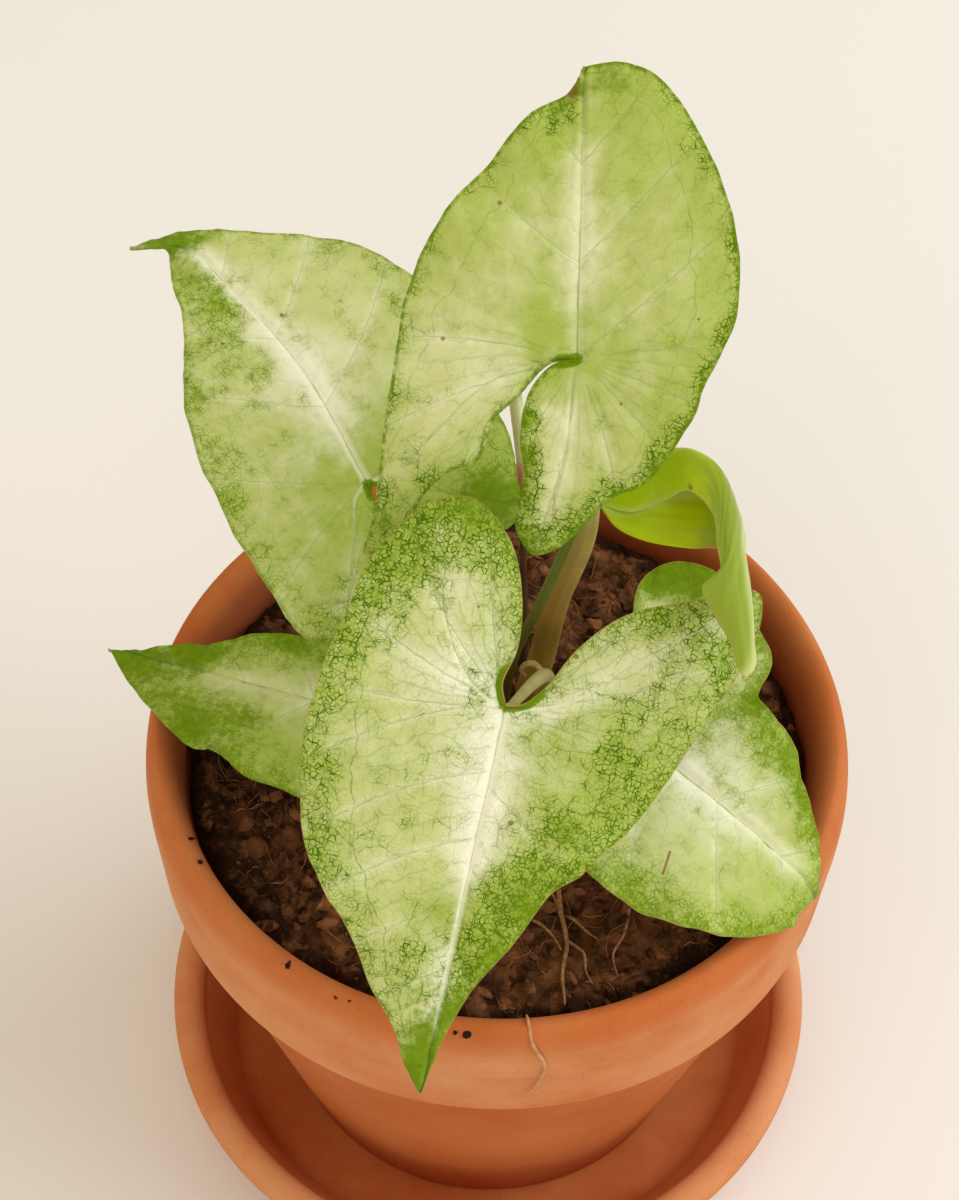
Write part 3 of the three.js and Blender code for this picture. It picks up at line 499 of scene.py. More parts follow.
def leaf_tissue(name, leaf, seed, colours):
    """Upper face of a living blade: a waxy skin over tissue that is nearly white along the veins and green
    between, so the eye sees a satin cream face under a lace of fine green lines that thickens towards the
    edge."""
    m = new_material(name, IOR=1.4, Specular_IOR_Level=0.08, Subsurface_Weight=0.05, Subsurface_Scale=0.001)
    add = partial(node, m)
    flat = add("UVMap:flat")
    place = add("Mapping", flat, (seed * 31.7, seed * 17.3, 0), None, (BLADE_SPAN,) * 3)
    count, spacing, _ = add("SeparateXYZ", add("UVMap:veins")).node.outputs
    margin, rib, green, solid, cream, wash, collector = (
        add(f"Attribute:{key}", out="Fac")
        for key in ("margin", "rib", "green", "solid", "cream", "wash", "collector"))
    lace, dense, blot, thread, hem = leaf["look"]
    bright = leaf["tone"][2]

    # the lace: coarse meshes that hold fine ones, each of these with its own depth of green; both are drawn
    # about half again as wide as they grow, because finer ones would not show
    stray = add("TexNoise:2D", place, 0.3, 2, out="Color")
    astray = add("VectorMath:MULTIPLY_ADD", stray, (1.5, 1.5, 0), place)
    coarse, fine = (add("TexVoronoi:DISTANCE_TO_EDGE", astray, 1 / width, voronoi_dimensions="2D")
                    for width in (COARSE_MESH, FINE_MESH))
    mesh_colour = add("TexVoronoi", astray, 1 / FINE_MESH, voronoi_dimensions="2D", out="Color")
    mesh_tone = add("SeparateXYZ", mesh_colour)

    # where the tissue is green: patches of 5 to 10 mm, broken up again at 1 to 2 mm; there the walls of the
    # lace thicken until only the middles of its meshes are pale
    patch = add("TexNoise:2D", place, 0.2, 4, 0.6)
    speck = add("TexNoise:2D", place, 0.7, 3, 0.7)
    place_green = add("Math:MULTIPLY_ADD", patch, 2.1, green)
    netted = add("MapRange:SMOOTHSTEP", place_green, 0.95, 1.75)
    deep = add("MapRange", place_green, 1.35, 2.4)
    mottle = add("Math:MULTIPLY_ADD", mesh_tone, 0.5, speck)
    thick = add("Math:MULTIPLY_ADD", add("Math:MULTIPLY", mottle, deep), -0.17, fine)
    plain = add("Math:ADD", speck, add("Math:MULTIPLY_ADD", deep, blot, solid))
    plain = add("MapRange:SMOOTHSTEP", plain, 0.65, 1.45, 0, 0.96)

    # side veins: count is whole on them, and spacing is the distance between two of them
    gap = from_line(add, add("Math:ADD", count, 0.5), spacing)
    apart = add("MapRange", spacing, 0.01, 0.035)
    side_line = add("MapRange:SMOOTHSTEP", gap, 0.0004, 0.0017, 0.35, 0)
    side_line = add("Math:MULTIPLY", side_line, apart)
    side_band = add("MapRange:SMOOTHSTEP", gap, 0.001, 0.016, 0.35, 0)
    side_band = add("Math:MULTIPLY", side_band, apart)
    minor_gap = from_line(add, add("Math:MULTIPLY_ADD", count, 3, add("Math:MULTIPLY", patch, 1.2)), spacing)
    minor_line = add("MapRange:SMOOTHSTEP", minor_gap, 0.002, 0.009, 0.45, 0)
    for share in (speck, apart, min(1, 0.3 + 3.5 * lace)):
        minor_line = add("Math:MULTIPLY", minor_line, share)

    # the vein inside the edge wanders and fades here and there
    there = add("MapRange", speck, 0.35, 0.6, 0.35, 1)
    off_line = add("Math:MULTIPLY_ADD", stray, 2.4, collector)
    off_line = add("Math:ABSOLUTE", add("Math:SUBTRACT", off_line, 1.2))
    inner_line = add("MapRange:SMOOTHSTEP", off_line, 0.03, 0.17, 0.75, 0)
    for share in (there, min(1, 0.15 + 3.2 * lace)):
        inner_line = add("Math:MULTIPLY", inner_line, share)

    # the net: the walls of the lace, broken here and there, with the minor veins and the vein inside the edge
    fine_line = add("MapRange:SMOOTHSTEP", thick, 0, 0.1, 1, 0)
    fine_line = add("Math:MULTIPLY", fine_line, add("MapRange", speck, 0.38, 0.58, 0.25, 1))
    coarse_line = add("MapRange:SMOOTHSTEP", coarse, 0.01, 0.055, 1, 0)
    coarse_line = add("Math:MULTIPLY", coarse_line, there)
    reach = add("Math:MULTIPLY_ADD", netted, dense, lace)
    net = add("Math:MULTIPLY", add("Math:MAXIMUM", coarse_line, fine_line), reach)
    for line in (minor_line, inner_line):
        net = add("Math:MAXIMUM", net, line)

    # soft green under the net, and a deeper green in some of its meshes
    soft = add("MapRange:SMOOTHSTEP", add("Math:MULTIPLY_ADD", patch, 0.9, wash), 0.45, 1.45)
    tinted = add("Math:MULTIPLY_ADD", netted, 0.55, add("Math:MULTIPLY", deep, 0.45))
    for amount in (tinted, plain):
        soft = add("Math:MAXIMUM", soft, amount)
    shade = add("MapRange", add("Math:MULTIPLY_ADD", mesh_tone, 0.8, deep), 0.7, 1.5, 0, 0.65)
    even = add("Mix:RGBA", add("Math:MULTIPLY", mesh_tone, 0.35), colours.green, colours.mesh)

    # the midrib and the ribs of the lobes: pale, with a fine green line where the groove closes
    clear = add("MapRange", solid, 0.3, 1, 1, 0.05)
    clear = add("Math:MULTIPLY", add("MapRange", cream, 0.1, 0.6, 0.45, 1), clear)
    rib_band = add("MapRange:SMOOTHSTEP", rib, 0.5, 1.7, 0.05 + 0.75 * bright ** 2, 0)
    rib_line = add("MapRange:SMOOTHSTEP", rib, 0.1, 0.34, 0.8 - 0.4 * bright, 0)
    coats = [(side_band, colours.cream), (soft, colours.wash), (shade, colours.mesh), (net, colours.net),
             (plain, even), (side_line, colours.vein), (add("Math:MULTIPLY", rib_band, clear), colours.cream),
             (add("Math:MULTIPLY", rib_line, clear), colours.vein)]

    for x, y, radius in leaf["marks"]:
        middle = ((x - FLAT_CORNER[0]) / BLADE_SPAN, (y - FLAT_CORNER[1]) / BLADE_SPAN, 0)
        away = add("VectorMath:DISTANCE", flat, middle)
        spot = add("MapRange:SMOOTHSTEP", away, 0.5 * radius / BLADE_SPAN, 1.3 * radius / BLADE_SPAN, 0.8, 0)
        coats.append((spot, colours.mark))

    # the green hem, which also lines the notch, and the thread round the edge
    border = add("MapRange:SMOOTHSTEP", margin, 0.25, 0.9, hem, 0)
    border = add("Math:MULTIPLY", border, add("MapRange", speck, 0.3, 0.55))
    border = add("Math:MAXIMUM", border, add("MapRange:SMOOTHSTEP", solid, 1.5, 2))
    edge = add("MapRange:SMOOTHSTEP", margin, 0.03, 0.16, thread, 0)
    coats += [(border, colours.green), (edge, colours.edge)]

    tissue = add("Mix:RGBA", cream, colours.pale, colours.cream)
    for amount, colour in coats:
        tissue = add("Mix:RGBA", amount, tissue, colour)
    rough = add("MapRange", speck, 0.3, 0.7, 0.4, 0.52)
    height = add("Math:MULTIPLY_ADD", net, -1, add("TexNoise:2D", place, 3, 2))
    return wire(m, Base_Color=tissue, Roughness=rough, Normal=add("Bump", 0.3, 0.0001, None, height))


def leaf_underside(name, colours):
    """Lower face of a living blade: unglossed skin, so the eye sees a paler, greyer green with raised pale
    veins."""
    m = new_material(name, Roughness=0.6, IOR=1.4, Subsurface_Weight=0.12, Subsurface_Scale=0.002)
    add = partial(node, m)
    flat = add("UVMap:flat")
    count, spacing, _ = add("SeparateXYZ", add("UVMap:veins")).node.outputs
    rib, green = (add(f"Attribute:{key}", out="Fac") for key in ("rib", "green"))
    # the flat map is 120 mm across, so 22 patches are 5.5 mm each and 75 cells 1.6 mm
    patch = add("TexNoise:2D", flat, 22, 4)
    cells = add("TexVoronoi:DISTANCE_TO_EDGE", flat, 75, voronoi_dimensions="2D")
    shade = add("MapRange", add("Math:MULTIPLY_ADD", patch, 0.6, green), 0.3, 1.2, 0, 0.8)
    gap = from_line(add, add("Math:ADD", count, 0.5), spacing)
    side = add("MapRange:SMOOTHSTEP", gap, 0.001, 0.005, 0.6, 0)
    middle = add("MapRange:SMOOTHSTEP", rib, 0.6, 1.3, 0.8, 0)
    tissue = add("Mix:RGBA", shade, colours.underside, colours.wash)
    tissue = add("Mix:RGBA", add("Math:MAXIMUM", side, middle), tissue, colours.cream)
    return wire(m, Base_Color=tissue, Normal=add("Bump", 0.3, 0.0002, None, cells))


def leaf_margin(name, first, second):
    """The blade's thin border, a hard seam of cells that dries to a fine tan thread or stays green."""
    m = new_material(name, Roughness=0.6)
    add = partial(node, m)
    patch = add("TexNoise:2D", add("UVMap:flat"), 30, 3)
    return wire(m, Base_Color=add("Mix:RGBA", patch, first, second))


def young_tissue(name, colours):
    """A leaf that has just unrolled: thin, full of water and still glossy. The eye sees bright yellow-green
    where light comes through its base, a calmer green along the roll, pale ribs and soft highlights. The light
    through the base, the shade on the roll and the highlights on the crease, the crest and the roll's edge are
    painted into its colour."""
    m = new_material(name, IOR=1.45, Specular_IOR_Level=0.12, Subsurface_Weight=0.1, Subsurface_Scale=0.003,
                     Coat_Weight=0.1, Coat_Roughness=0.22)
    add = partial(node, m)
    flat = add("UVMap:flat")
    along, across, _ = add("SeparateXYZ", flat).node.outputs
    place = add("Mapping", flat, None, None, (YOUNG_LENGTH, YOUNG_BREADTH, 1))
    rib, margin = (add(f"Attribute:{key}", out="Fac") for key in ("rib", "margin"))
    patch = add("TexNoise:2D", place, 0.16, 3)
    streak = add("TexNoise:2D", add("Mapping", place, None, None, (0.08, 0.9, 1)), 1, 3)
    # painted light: the base is brighter, for the light that shines through it, and the roll is darker, for its
    # shade
    rolled = add("MapRange:SMOOTHSTEP", add("Math:MULTIPLY_ADD", patch, 0.16, along), 0.36, 0.52)
    light = add("MapRange", streak, 0.45, 0.75, 0, 0.12)
    # the pale midrib, made stronger on the roll, where it also paints the highlight along the roll's right edge
    rib_band = add("MapRange:SMOOTHSTEP", rib, 0.3, 3, 0.75, 0)
    rib_band = add("Math:MULTIPLY", rib_band, add("MapRange", rolled, 0, 1, 0.6, 1))

    # painted highlights: a pale crease along the upper edge near the base, and a pale band along the crest of
    # the roll
    crease = add("MapRange:SMOOTHSTEP", margin, 0.1, 1.2, 0.5, 0)
    for share in (add("MapRange", across, 0.6, 0.8), add("MapRange", along, 0.24, 0.31, 1, 0)):
        crease = add("Math:MULTIPLY", crease, share)
    ridge = add("MapRange", along, 0.25, 0.5, 0.67, 0.47)
    crest = add("Math:ABSOLUTE", add("Math:SUBTRACT", across, ridge))
    crest = add("MapRange:SMOOTHSTEP", crest, 0, 0.11, 0.5, 0)

    # the thread round the free edge, and one scar where the roll begins
    edge = add("MapRange:SMOOTHSTEP", margin, 0.08, 0.3, 0.7, 0)
    edge = add("Math:MULTIPLY", edge, add("MapRange", along, 0.28, 0.34))
    away = add("VectorMath:DISTANCE", place, (0.305 * YOUNG_LENGTH, YOUNG_BREADTH - 0.8, 0))
    scar = add("MapRange:SMOOTHSTEP", away, 0.3, 0.8, 0.7, 0)

    tissue = add("Mix:RGBA", rolled, colours.young, colours.young_dark)
    for amount in (light, rib_band, crease, crest):
        tissue = add("Mix:RGBA", amount, tissue, colours.young_light)
    for amount, colour in ((edge, colours.edge), (scar, colours.mark)):
        tissue = add("Mix:RGBA", amount, tissue, colour)
    rough = add("MapRange", patch, 0.3, 0.7, 0.3, 0.4)
    return wire(m, Base_Color=tissue, Roughness=rough, Normal=add("Bump", 0.1, 0.0001, None, streak))


def stalk_tissue(name, foot, head, blush, blush_at, seed, turning=(0.25, 0.8)):
    """A living stalk: waxy skin over long fibres, so it has a satin sheen, fine lengthwise streaks, and runs
    from one colour at the soil to another at the blade, with a blush where blush_at says."""
    m = new_material(name, IOR=1.45, Specular_IOR_Level=0.25, Subsurface_Weight=0.1, Subsurface_Scale=0.002)
    add = partial(node, m)
    run = add("UVMap:run")
    along = add("SeparateXYZ", run)
    streak = add("TexNoise", add("Mapping", run, (seed, seed * 0.37, 0), None, (3, 22, 1)), 1, 4, 0.6)
    mottled = add("TexNoise", add("TexCoord", out="Object"), 220, 3)
    climb = add("MapRange:SMOOTHSTEP", along, *turning)
    pale = add("Math:MULTIPLY", add("MapRange", streak, 0.45, 0.75, 0, 0.35), climb)
    deep = add("MapRange", mottled, 0.5, 0.8, 0, 0.35)
    off = add("Math:ABSOLUTE", add("Math:SUBTRACT", along, blush_at))
    red = add("MapRange:SMOOTHSTEP", off, 0.01, 0.07, 0.85, 0)
    skin = add("Mix:RGBA", climb, foot, head)
    for amount, colour in ((pale, "#B9B27A"), (deep, "#5E6420"), (red, blush)):
        skin = add("Mix:RGBA", amount, skin, colour)
    rough = add("MapRange", streak, 0.3, 0.7, 0.38, 0.52)
    return wire(m, Base_Color=skin, Roughness=rough, Normal=add("Bump", 0.4, 0.0002, None, streak))


def terracotta(name, colours, damp_and_shade_height, dust_height, wall_damp_and_shade):
    """Terracotta: iron-rich earthenware, turned and fired once without glaze. It is matt and finely gritty,
    mottled from the kiln, dusted paler with lime above dust_height, and darker and redder where water stands
    against it. That darker red is partly painted shade: in the saucer's well, on the wall below the rim band
    and on the inside of the rim above the soil."""
    m = new_material(name, IOR=1.5, Specular_IOR_Level=0.15)
    add = partial(node, m)
    place = add("TexCoord", out="Object")
    x, y, height = add("SeparateXYZ", place).node.outputs
    cloud = add("TexNoise", place, 32, 5, 0.6)
    grit = add("TexNoise", place, 1500, 2)
    rings = add("TexNoise", add("Mapping", place, None, None, (12, 12, 420)), 1, 3)
    fleck = add("TexVoronoi", place, 420)
    kiln = add("MapRange", cloud, 0.32, 0.7)

    # lime dries out above dust_height and is worn off the crown
    high = add("MapRange", height, (dust_height - 3) * MM, (dust_height + 1) * MM)
    crown = add("MapRange:SMOOTHSTEP", height, 0.105, 0.1125)
    lime = add("MapRange", add("Math:MULTIPLY_ADD", rings, 0.4, cloud), 0.45, 0.9, 0.06, 0.42)
    lime = add("Math:MULTIPLY", lime, add("Math:SUBTRACT", high, crown, use_clamp=True))

    # damp climbs from the foot and holds on the wall up to the rim band; the darker red there is partly damp
    # clay and partly painted shade, in the saucer's well and under the band
    wet = add("Math:MULTIPLY_ADD", cloud, 0.02, height)
    wet = add("MapRange:SMOOTHSTEP", wet, damp_and_shade_height * MM, (damp_and_shade_height + 26) * MM, 0.85, wall_damp_and_shade)
    dry = add("Math:SUBTRACT", high, add("Math:MULTIPLY", crown, 0.4))
    wet = add("Math:MULTIPLY", wet, add("Math:SUBTRACT", 1, dry))
    # painted shade: the inside of the rim above the soil is darkened with the damp colour
    off_axis = add("VectorMath:LENGTH", add("CombineXYZ", x, y))
    inside = add("MapRange:SMOOTHSTEP", off_axis, SOIL_EDGE * MM, 0.0608, 0.9, 0)
    inside = add("Math:MULTIPLY", inside, add("MapRange", height, 0.09, 0.095))
    wet = add("Math:MAXIMUM", wet, inside)
    dots = add("MapRange", fleck, 0.06, 0.16, 0.22, 0)

    clay = add("Mix:RGBA", kiln, colours.clay, colours.clay_light)
    for amount, colour in ((lime, colours.clay_dust), (wet, colours.clay_damp), (dots, colours.clay_fleck)):
        clay = add("Mix:RGBA", amount, clay, colour)
    rough = add("MapRange", wet, 0, 0.75, 0.88, 0.66)
    bump = add("Bump", 0.35, 0.0002, None, add("Math:MULTIPLY_ADD", rings, 0.6, grit))
    return wire(m, Base_Color=clay, Roughness=rough, Normal=bump)


def potting_soil(name, colours):
    """Damp potting soil of composted bark and coir: crumbs from near black to reddish brown, with a dull skin
    that glistens here and there where it is wet."""
    m = new_material(name, IOR=1.4, Specular_IOR_Level=0.18)
    add = partial(node, m)
    place = add("TexCoord", out="Object")
    x, y, _ = add("SeparateXYZ", place).node.outputs
    clump = add("TexNoise", place, 260, 6, 0.7)
    grain = add("TexNoise", place, 1400, 3)
    crumb = add("SeparateXYZ", add("TexVoronoi", place, 620, out="Color"))
    mixed = add("Math:MULTIPLY_ADD", clump, 0.9, add("Attribute:tone", out="Fac"))
    mixed = add("Math:MULTIPLY_ADD", crumb, 0.22, mixed)
    mixed = add("Math:SUBTRACT", mixed, 0.25)

    # painted shade: darker in a ring along the wall, for the shadow in the gap between soil and pot, and to the
    # left, under the leaves, for their shade and for soil that is damper there
    off_axis = add("VectorMath:LENGTH", add("CombineXYZ", x, y))
    wall_shadow = add("MapRange", off_axis, 0.0525, 0.0555, 0, 0.35)
    shaded = add("MapRange", x, -0.052, -0.018, 0.17, 0)
    mixed = add("Math:SUBTRACT", mixed, add("Math:MAXIMUM", wall_shadow, shaded))
    ramp = add("ValToRGB", mixed)
    stops = ramp.node.color_ramp.elements
    stops.new(0.52)
    for stop, place_on_ramp, colour in zip(
            stops, (0.2, 0.52, 0.95), (colours.soil_dark, colours.soil, colours.soil_chunk)):
        stop.position = place_on_ramp
        stop.color = linear(colour)
    wet = add("MapRange", grain, 0.35, 0.65, 0.62, 0.95)
    bump = add("Bump", 0.8, 0.0006, None, add("Math:ADD", grain, clump))
    return wire(m, Base_Color=ramp, Roughness=wet, Normal=bump)


def dry_tissue(name, light, dark, scale):
    """Dry plant tissue, such as a withered sheath or a bare root: papery or corky, dull, and streaked with
    darker fibres."""
    m = new_material(name, Specular_IOR_Level=0.3)
    add = partial(node, m)
    streak = add("TexNoise", add("TexCoord", out="Object"), scale, 4, 0.65)
    tissue = add("Mix:RGBA", add("MapRange", streak, 0.35, 0.68), light, dark)
    rough = add("MapRange", streak, 0.3, 0.7, 0.7, 0.9)
    return wire(m, Base_Color=tissue, Roughness=rough, Normal=add("Bump", 0.5, 0.0002, None, streak))


def painted_floor(name, colour):
    """Smooth painted board, matt, with the faintest cloudiness."""
    m = new_material(name, Roughness=0.8, Specular_IOR_Level=0.2)
    add = partial(node, m)
    cloud = add("TexNoise", add("TexCoord", out="Object"), 6, 3)
    light = linear(colour)
    deep = (*(v * 0.97 for v in light[:3]), 1)
    return wire(m, Base_Color=add("Mix:RGBA", cloud, light, deep))


# ---- forms ----

def turned(name, profile, steps, fan):
    """A turned body: a ring of the profile's first point is extruded from point to point. With fan the first
    ring is filled and the last point lies on the centre line; without it the last point meets the first."""
    deselect()
    radius, height = profile[0]
    bpy.ops.mesh.primitive_circle_add(vertices=steps, radius=radius * MM, location=(0, 0, height * MM),
                                      fill_type="TRIFAN" if fan else "NOTHING")
    bpy.ops.object.transform_apply(location=True)
    piece = named(name)
    bpy.ops.object.mode_set(mode="EDIT")
    bpy.ops.mesh.select_mode(type="EDGE")
    bpy.ops.mesh.select_all(action="DESELECT")
    bpy.ops.mesh.select_non_manifold()
    for next_radius, next_height in profile[1:]:
        bpy.ops.mesh.extrude_edges_move(TRANSFORM_OT_translate={"value": (0, 0, (next_height - height) * MM)})
        scale = next_radius / radius
        bpy.ops.transform.resize(value=(scale, scale, 1), center_override=(0, 0, next_height * MM))
        radius, height = max(next_radius, 1e-6), next_height
    bpy.ops.mesh.select_mode(type="VERT")
    bpy.ops.object.mode_set(mode="OBJECT")
    close_up(piece)
    return piece


def stray_from_true(piece, amount, seed):
    """Moves a turned body's wall in and out by a little, slowly round it and finely along it."""
    places = get_places(piece)
    turn = np.arctan2(places[:, 1], places[:, 0])
    round_it = np.sin(2 * turn + seed) + 0.6 * np.sin(3 * turn + 2.1 * seed) + 0.4 * np.sin(7 * turn + seed)
    along_it = np.sin(places[:, 2] * 0.9 + seed) * 0.3
    radius = np.maximum(np.hypot(places[:, 0], places[:, 1]), 1e-6)
    held = ease(radius, 8, 20)
    shift = 1 + amount * held * (round_it + along_it) / radius * 0.5
    places[:, 0] *= shift
    places[:, 1] *= shift
    set_places(piece, places)


def arc_points(centre, reach, start, end, steps):
    """Points on part of an ellipse, as radius and height."""
    angles = np.radians(np.linspace(start, end, steps))
    return [(centre[0] + reach[0] * math.cos(a), centre[1] + reach[1] * math.sin(a)) for a in angles]


def straight(start, end, steps):
    """Points on a straight line, without its two ends, as radius and height."""
    return [tuple(p) for p in np.linspace(start, end, steps + 2)[1:-1]]


def soil_height(x, y):
    """Height of the soil's lumps, the same as the part gives them."""
    lumps = math.sin(x * 0.21 + 1.3) * math.cos(y * 0.17) + 0.6 * math.sin(x * 0.37 - y * 0.31)
    return SOIL_TOP + 0.95 * lumps


def spot_on_soil(draw, share):
    """A place drawn evenly from a share of the soil's round."""
    radius = SOIL_EDGE * math.sqrt(draw.random()) * share
    turn = draw.uniform(0, math.tau)
    return radius * math.cos(turn), radius * math.sin(turn)


def soil_surface(x, y):
    """Height of the finer surface: clods, pits and grains on those lumps, falling away at the pot's wall."""
    spot = Vector((x, y, 0))
    clods = noise.fractal(spot * 0.11, 1.0, 2.0, 3)
    pits = noise.turbulence(spot * 0.35 + Vector((7, 3, 1)), 3, False)
    grains = noise.noise(spot * 0.9)
    fall = 3.4 * (max(0, math.hypot(x, y) - FALL_START) / FALL_WIDTH) ** 2
    return soil_height(x, y) + 1.9 * clods - 2 * pits + 0.55 * grains - fall + 0.7


def refill(piece, places, faces, tones):
    """Gives a piece a new mesh, which holds many copies of a small form, with a tone for each vertex."""
    mesh = bpy.data.meshes.new(piece.name + "_strewn")
    mesh.from_pydata(np.asarray(places) * MM, [], faces)
    piece.data = mesh
    give_value(piece, "tone", tones)


def rod(name, places, radii, rows, columns, section=None):
    """A closed rod along a smooth path, laid out as a grid that is rolled round the path and drawn to a point
    at both ends. section gives the share of the radius by place along and angle round."""
    share = np.linspace(0, 1, rows + 1)
    centres = even_curve(places, share)
    ahead = np.gradient(centres, axis=0)
    ahead /= np.linalg.norm(ahead, axis=1)[:, None]
    sides = np.empty_like(ahead)
    side = np.cross(ahead[0], (0.3, 1, 0.1))
    for i, axis in enumerate(ahead):
        side = side - axis * side.dot(axis)
        side = side / np.linalg.norm(side)
        sides[i] = side
    others = np.cross(ahead, sides)
    angle = np.linspace(0, math.tau, columns + 1)
    radius = np.interp(share, np.linspace(0, 1, len(radii)), radii)
    run = np.linalg.norm(np.diff(centres, axis=0), axis=1).sum()
    ends = np.minimum(share, 1 - share) * run / radius
    radius = radius * np.sqrt(np.clip(2 * ends - ends ** 2, 0, 1) * (ends < 1) + (ends >= 1))
    spread = radius[:, None] * (section(share[:, None], angle[None]) if section else np.ones((1, columns + 1)))
    rings = (centres[:, None] + sides[:, None] * (np.cos(angle) * spread)[..., None]
             + others[:, None] * (np.sin(angle) * spread)[..., None])
    piece = new_grid(name, rows, columns)
    set_places(piece, rings.reshape(-1, 3))
    row, column, _ = grid_corners(piece, columns)
    give_map(piece, "run", row / rows, column / columns)
    close_up(piece, 0.004)
    return piece


def channelled(depth, centre, width):
    """A round section with a shallow channel along one side."""
    def section(along, angle):
        off = np.angle(np.exp(1j * (angle - centre)))
        return 1 - depth * np.exp(-(off / width) ** 2) + 0 * along
    return section


# ---- blades ----

def along_arc(length, slope, rate):
    """Place and slope after a length of an arc that starts at a slope and turns at a rate."""
    rate = np.where(np.abs(rate) < 1e-7, 1e-7, rate)
    end = slope + rate * length
    return (np.sin(end) - np.sin(slope)) / rate, (np.cos(slope) - np.cos(end)) / rate, end


def midrib(leaf, y):
    """Place along the blade, rise and slope of the midrib at each flat place y."""
    back = along_arc(y, 0, -math.radians(leaf["lobes"]) / LOBE_REACH)
    rate = math.radians(leaf["arch"]) / leaf["tip"][1]
    front = along_arc(y, 0, rate)
    if "hook" in leaf:
        start, turn = leaf["hook"]
        first = along_arc(start, 0, rate)
        last = along_arc(y - start, first[2], rate + math.radians(turn) / (leaf["tip"][1] - start))
        bent = (first[0] + last[0], first[1] + last[1], last[2])
        front = [np.where(y > start, b, f) for b, f in zip(bent, front)]
    return [np.where(y < 0, b, f) for b, f in zip(back, front)]


def blade_axes(leaf):
    """Directions across, along and up from a blade at its stalk."""
    heading, pitch, roll = (math.radians(leaf[k]) for k in ("heading", "pitch", "roll"))
    level = math.cos(pitch)
    along = np.array([math.sin(heading) * level, math.cos(heading) * level, math.sin(pitch)])
    across = np.array([math.cos(heading), -math.sin(heading), 0.0])
    up = np.cross(across, along)
    rolled = across * math.cos(roll) + np.cross(along, across) * math.sin(roll)
    return rolled, along, up * math.cos(roll) + np.cross(along, up) * math.sin(roll)


def blade_places(leaf, x, y, lift):
    """Takes flat places of a blade to their places on the plant."""
    left = x < 0
    fold = np.where(left, *(math.radians(leaf["fold"][k]) for k in (1, 0)))
    cup = np.where(left, *(math.radians(leaf["cup"][k]) / leaf["reach"] for k in (1, 0)))
    out, rise, _ = along_arc(np.abs(x), fold, cup)
    rib_out, rib_up, slope = midrib(leaf, y)
    across, along, up = blade_axes(leaf)
    lift = lift + rise
    return (np.array(leaf["at"]) + across * (np.sign(x) * out)[..., None]
            + along * (rib_out - np.sin(slope) * lift)[..., None]
            + up * (rib_up + np.cos(slope) * lift)[..., None])


def vein_count(leaf, half, run, x, y):
    """Counts side veins over a half: whole numbers lie on them. In a lobe they spread out from the junction,
    and in front of it they leave the midrib and bend towards the tip."""
    if run < 2:
        out = -x if half else x
        return 2.2 * np.arctan2(out, -y) + 0.012 * np.hypot(x, y)
    count, lean, fan, bend = leaf["veins"][half]
    spine = np.array([(0, 0), *leaf.get("spine", ()), leaf["tip"]], float)
    out = np.abs(x - np.interp(y, spine[:, 1], spine[:, 0]))
    return count * (y - lean * out - bend * out ** 2) / (leaf["tip"][1] + fan * out)


def patches(x, y, places):
    """Sum of round patches that fade out, each with its strength."""
    total = np.zeros_like(x)
    for px, py, radius, strength in places:
        total += strength * np.exp(-((x - px) ** 2 + (y - py) ** 2) / radius ** 2)
    return total


def joined(runs):
    """The three runs of a half one after another; the first row of a run is the last row of the run before."""
    return np.concatenate([runs[0], runs[1][1:], runs[2][1:]])


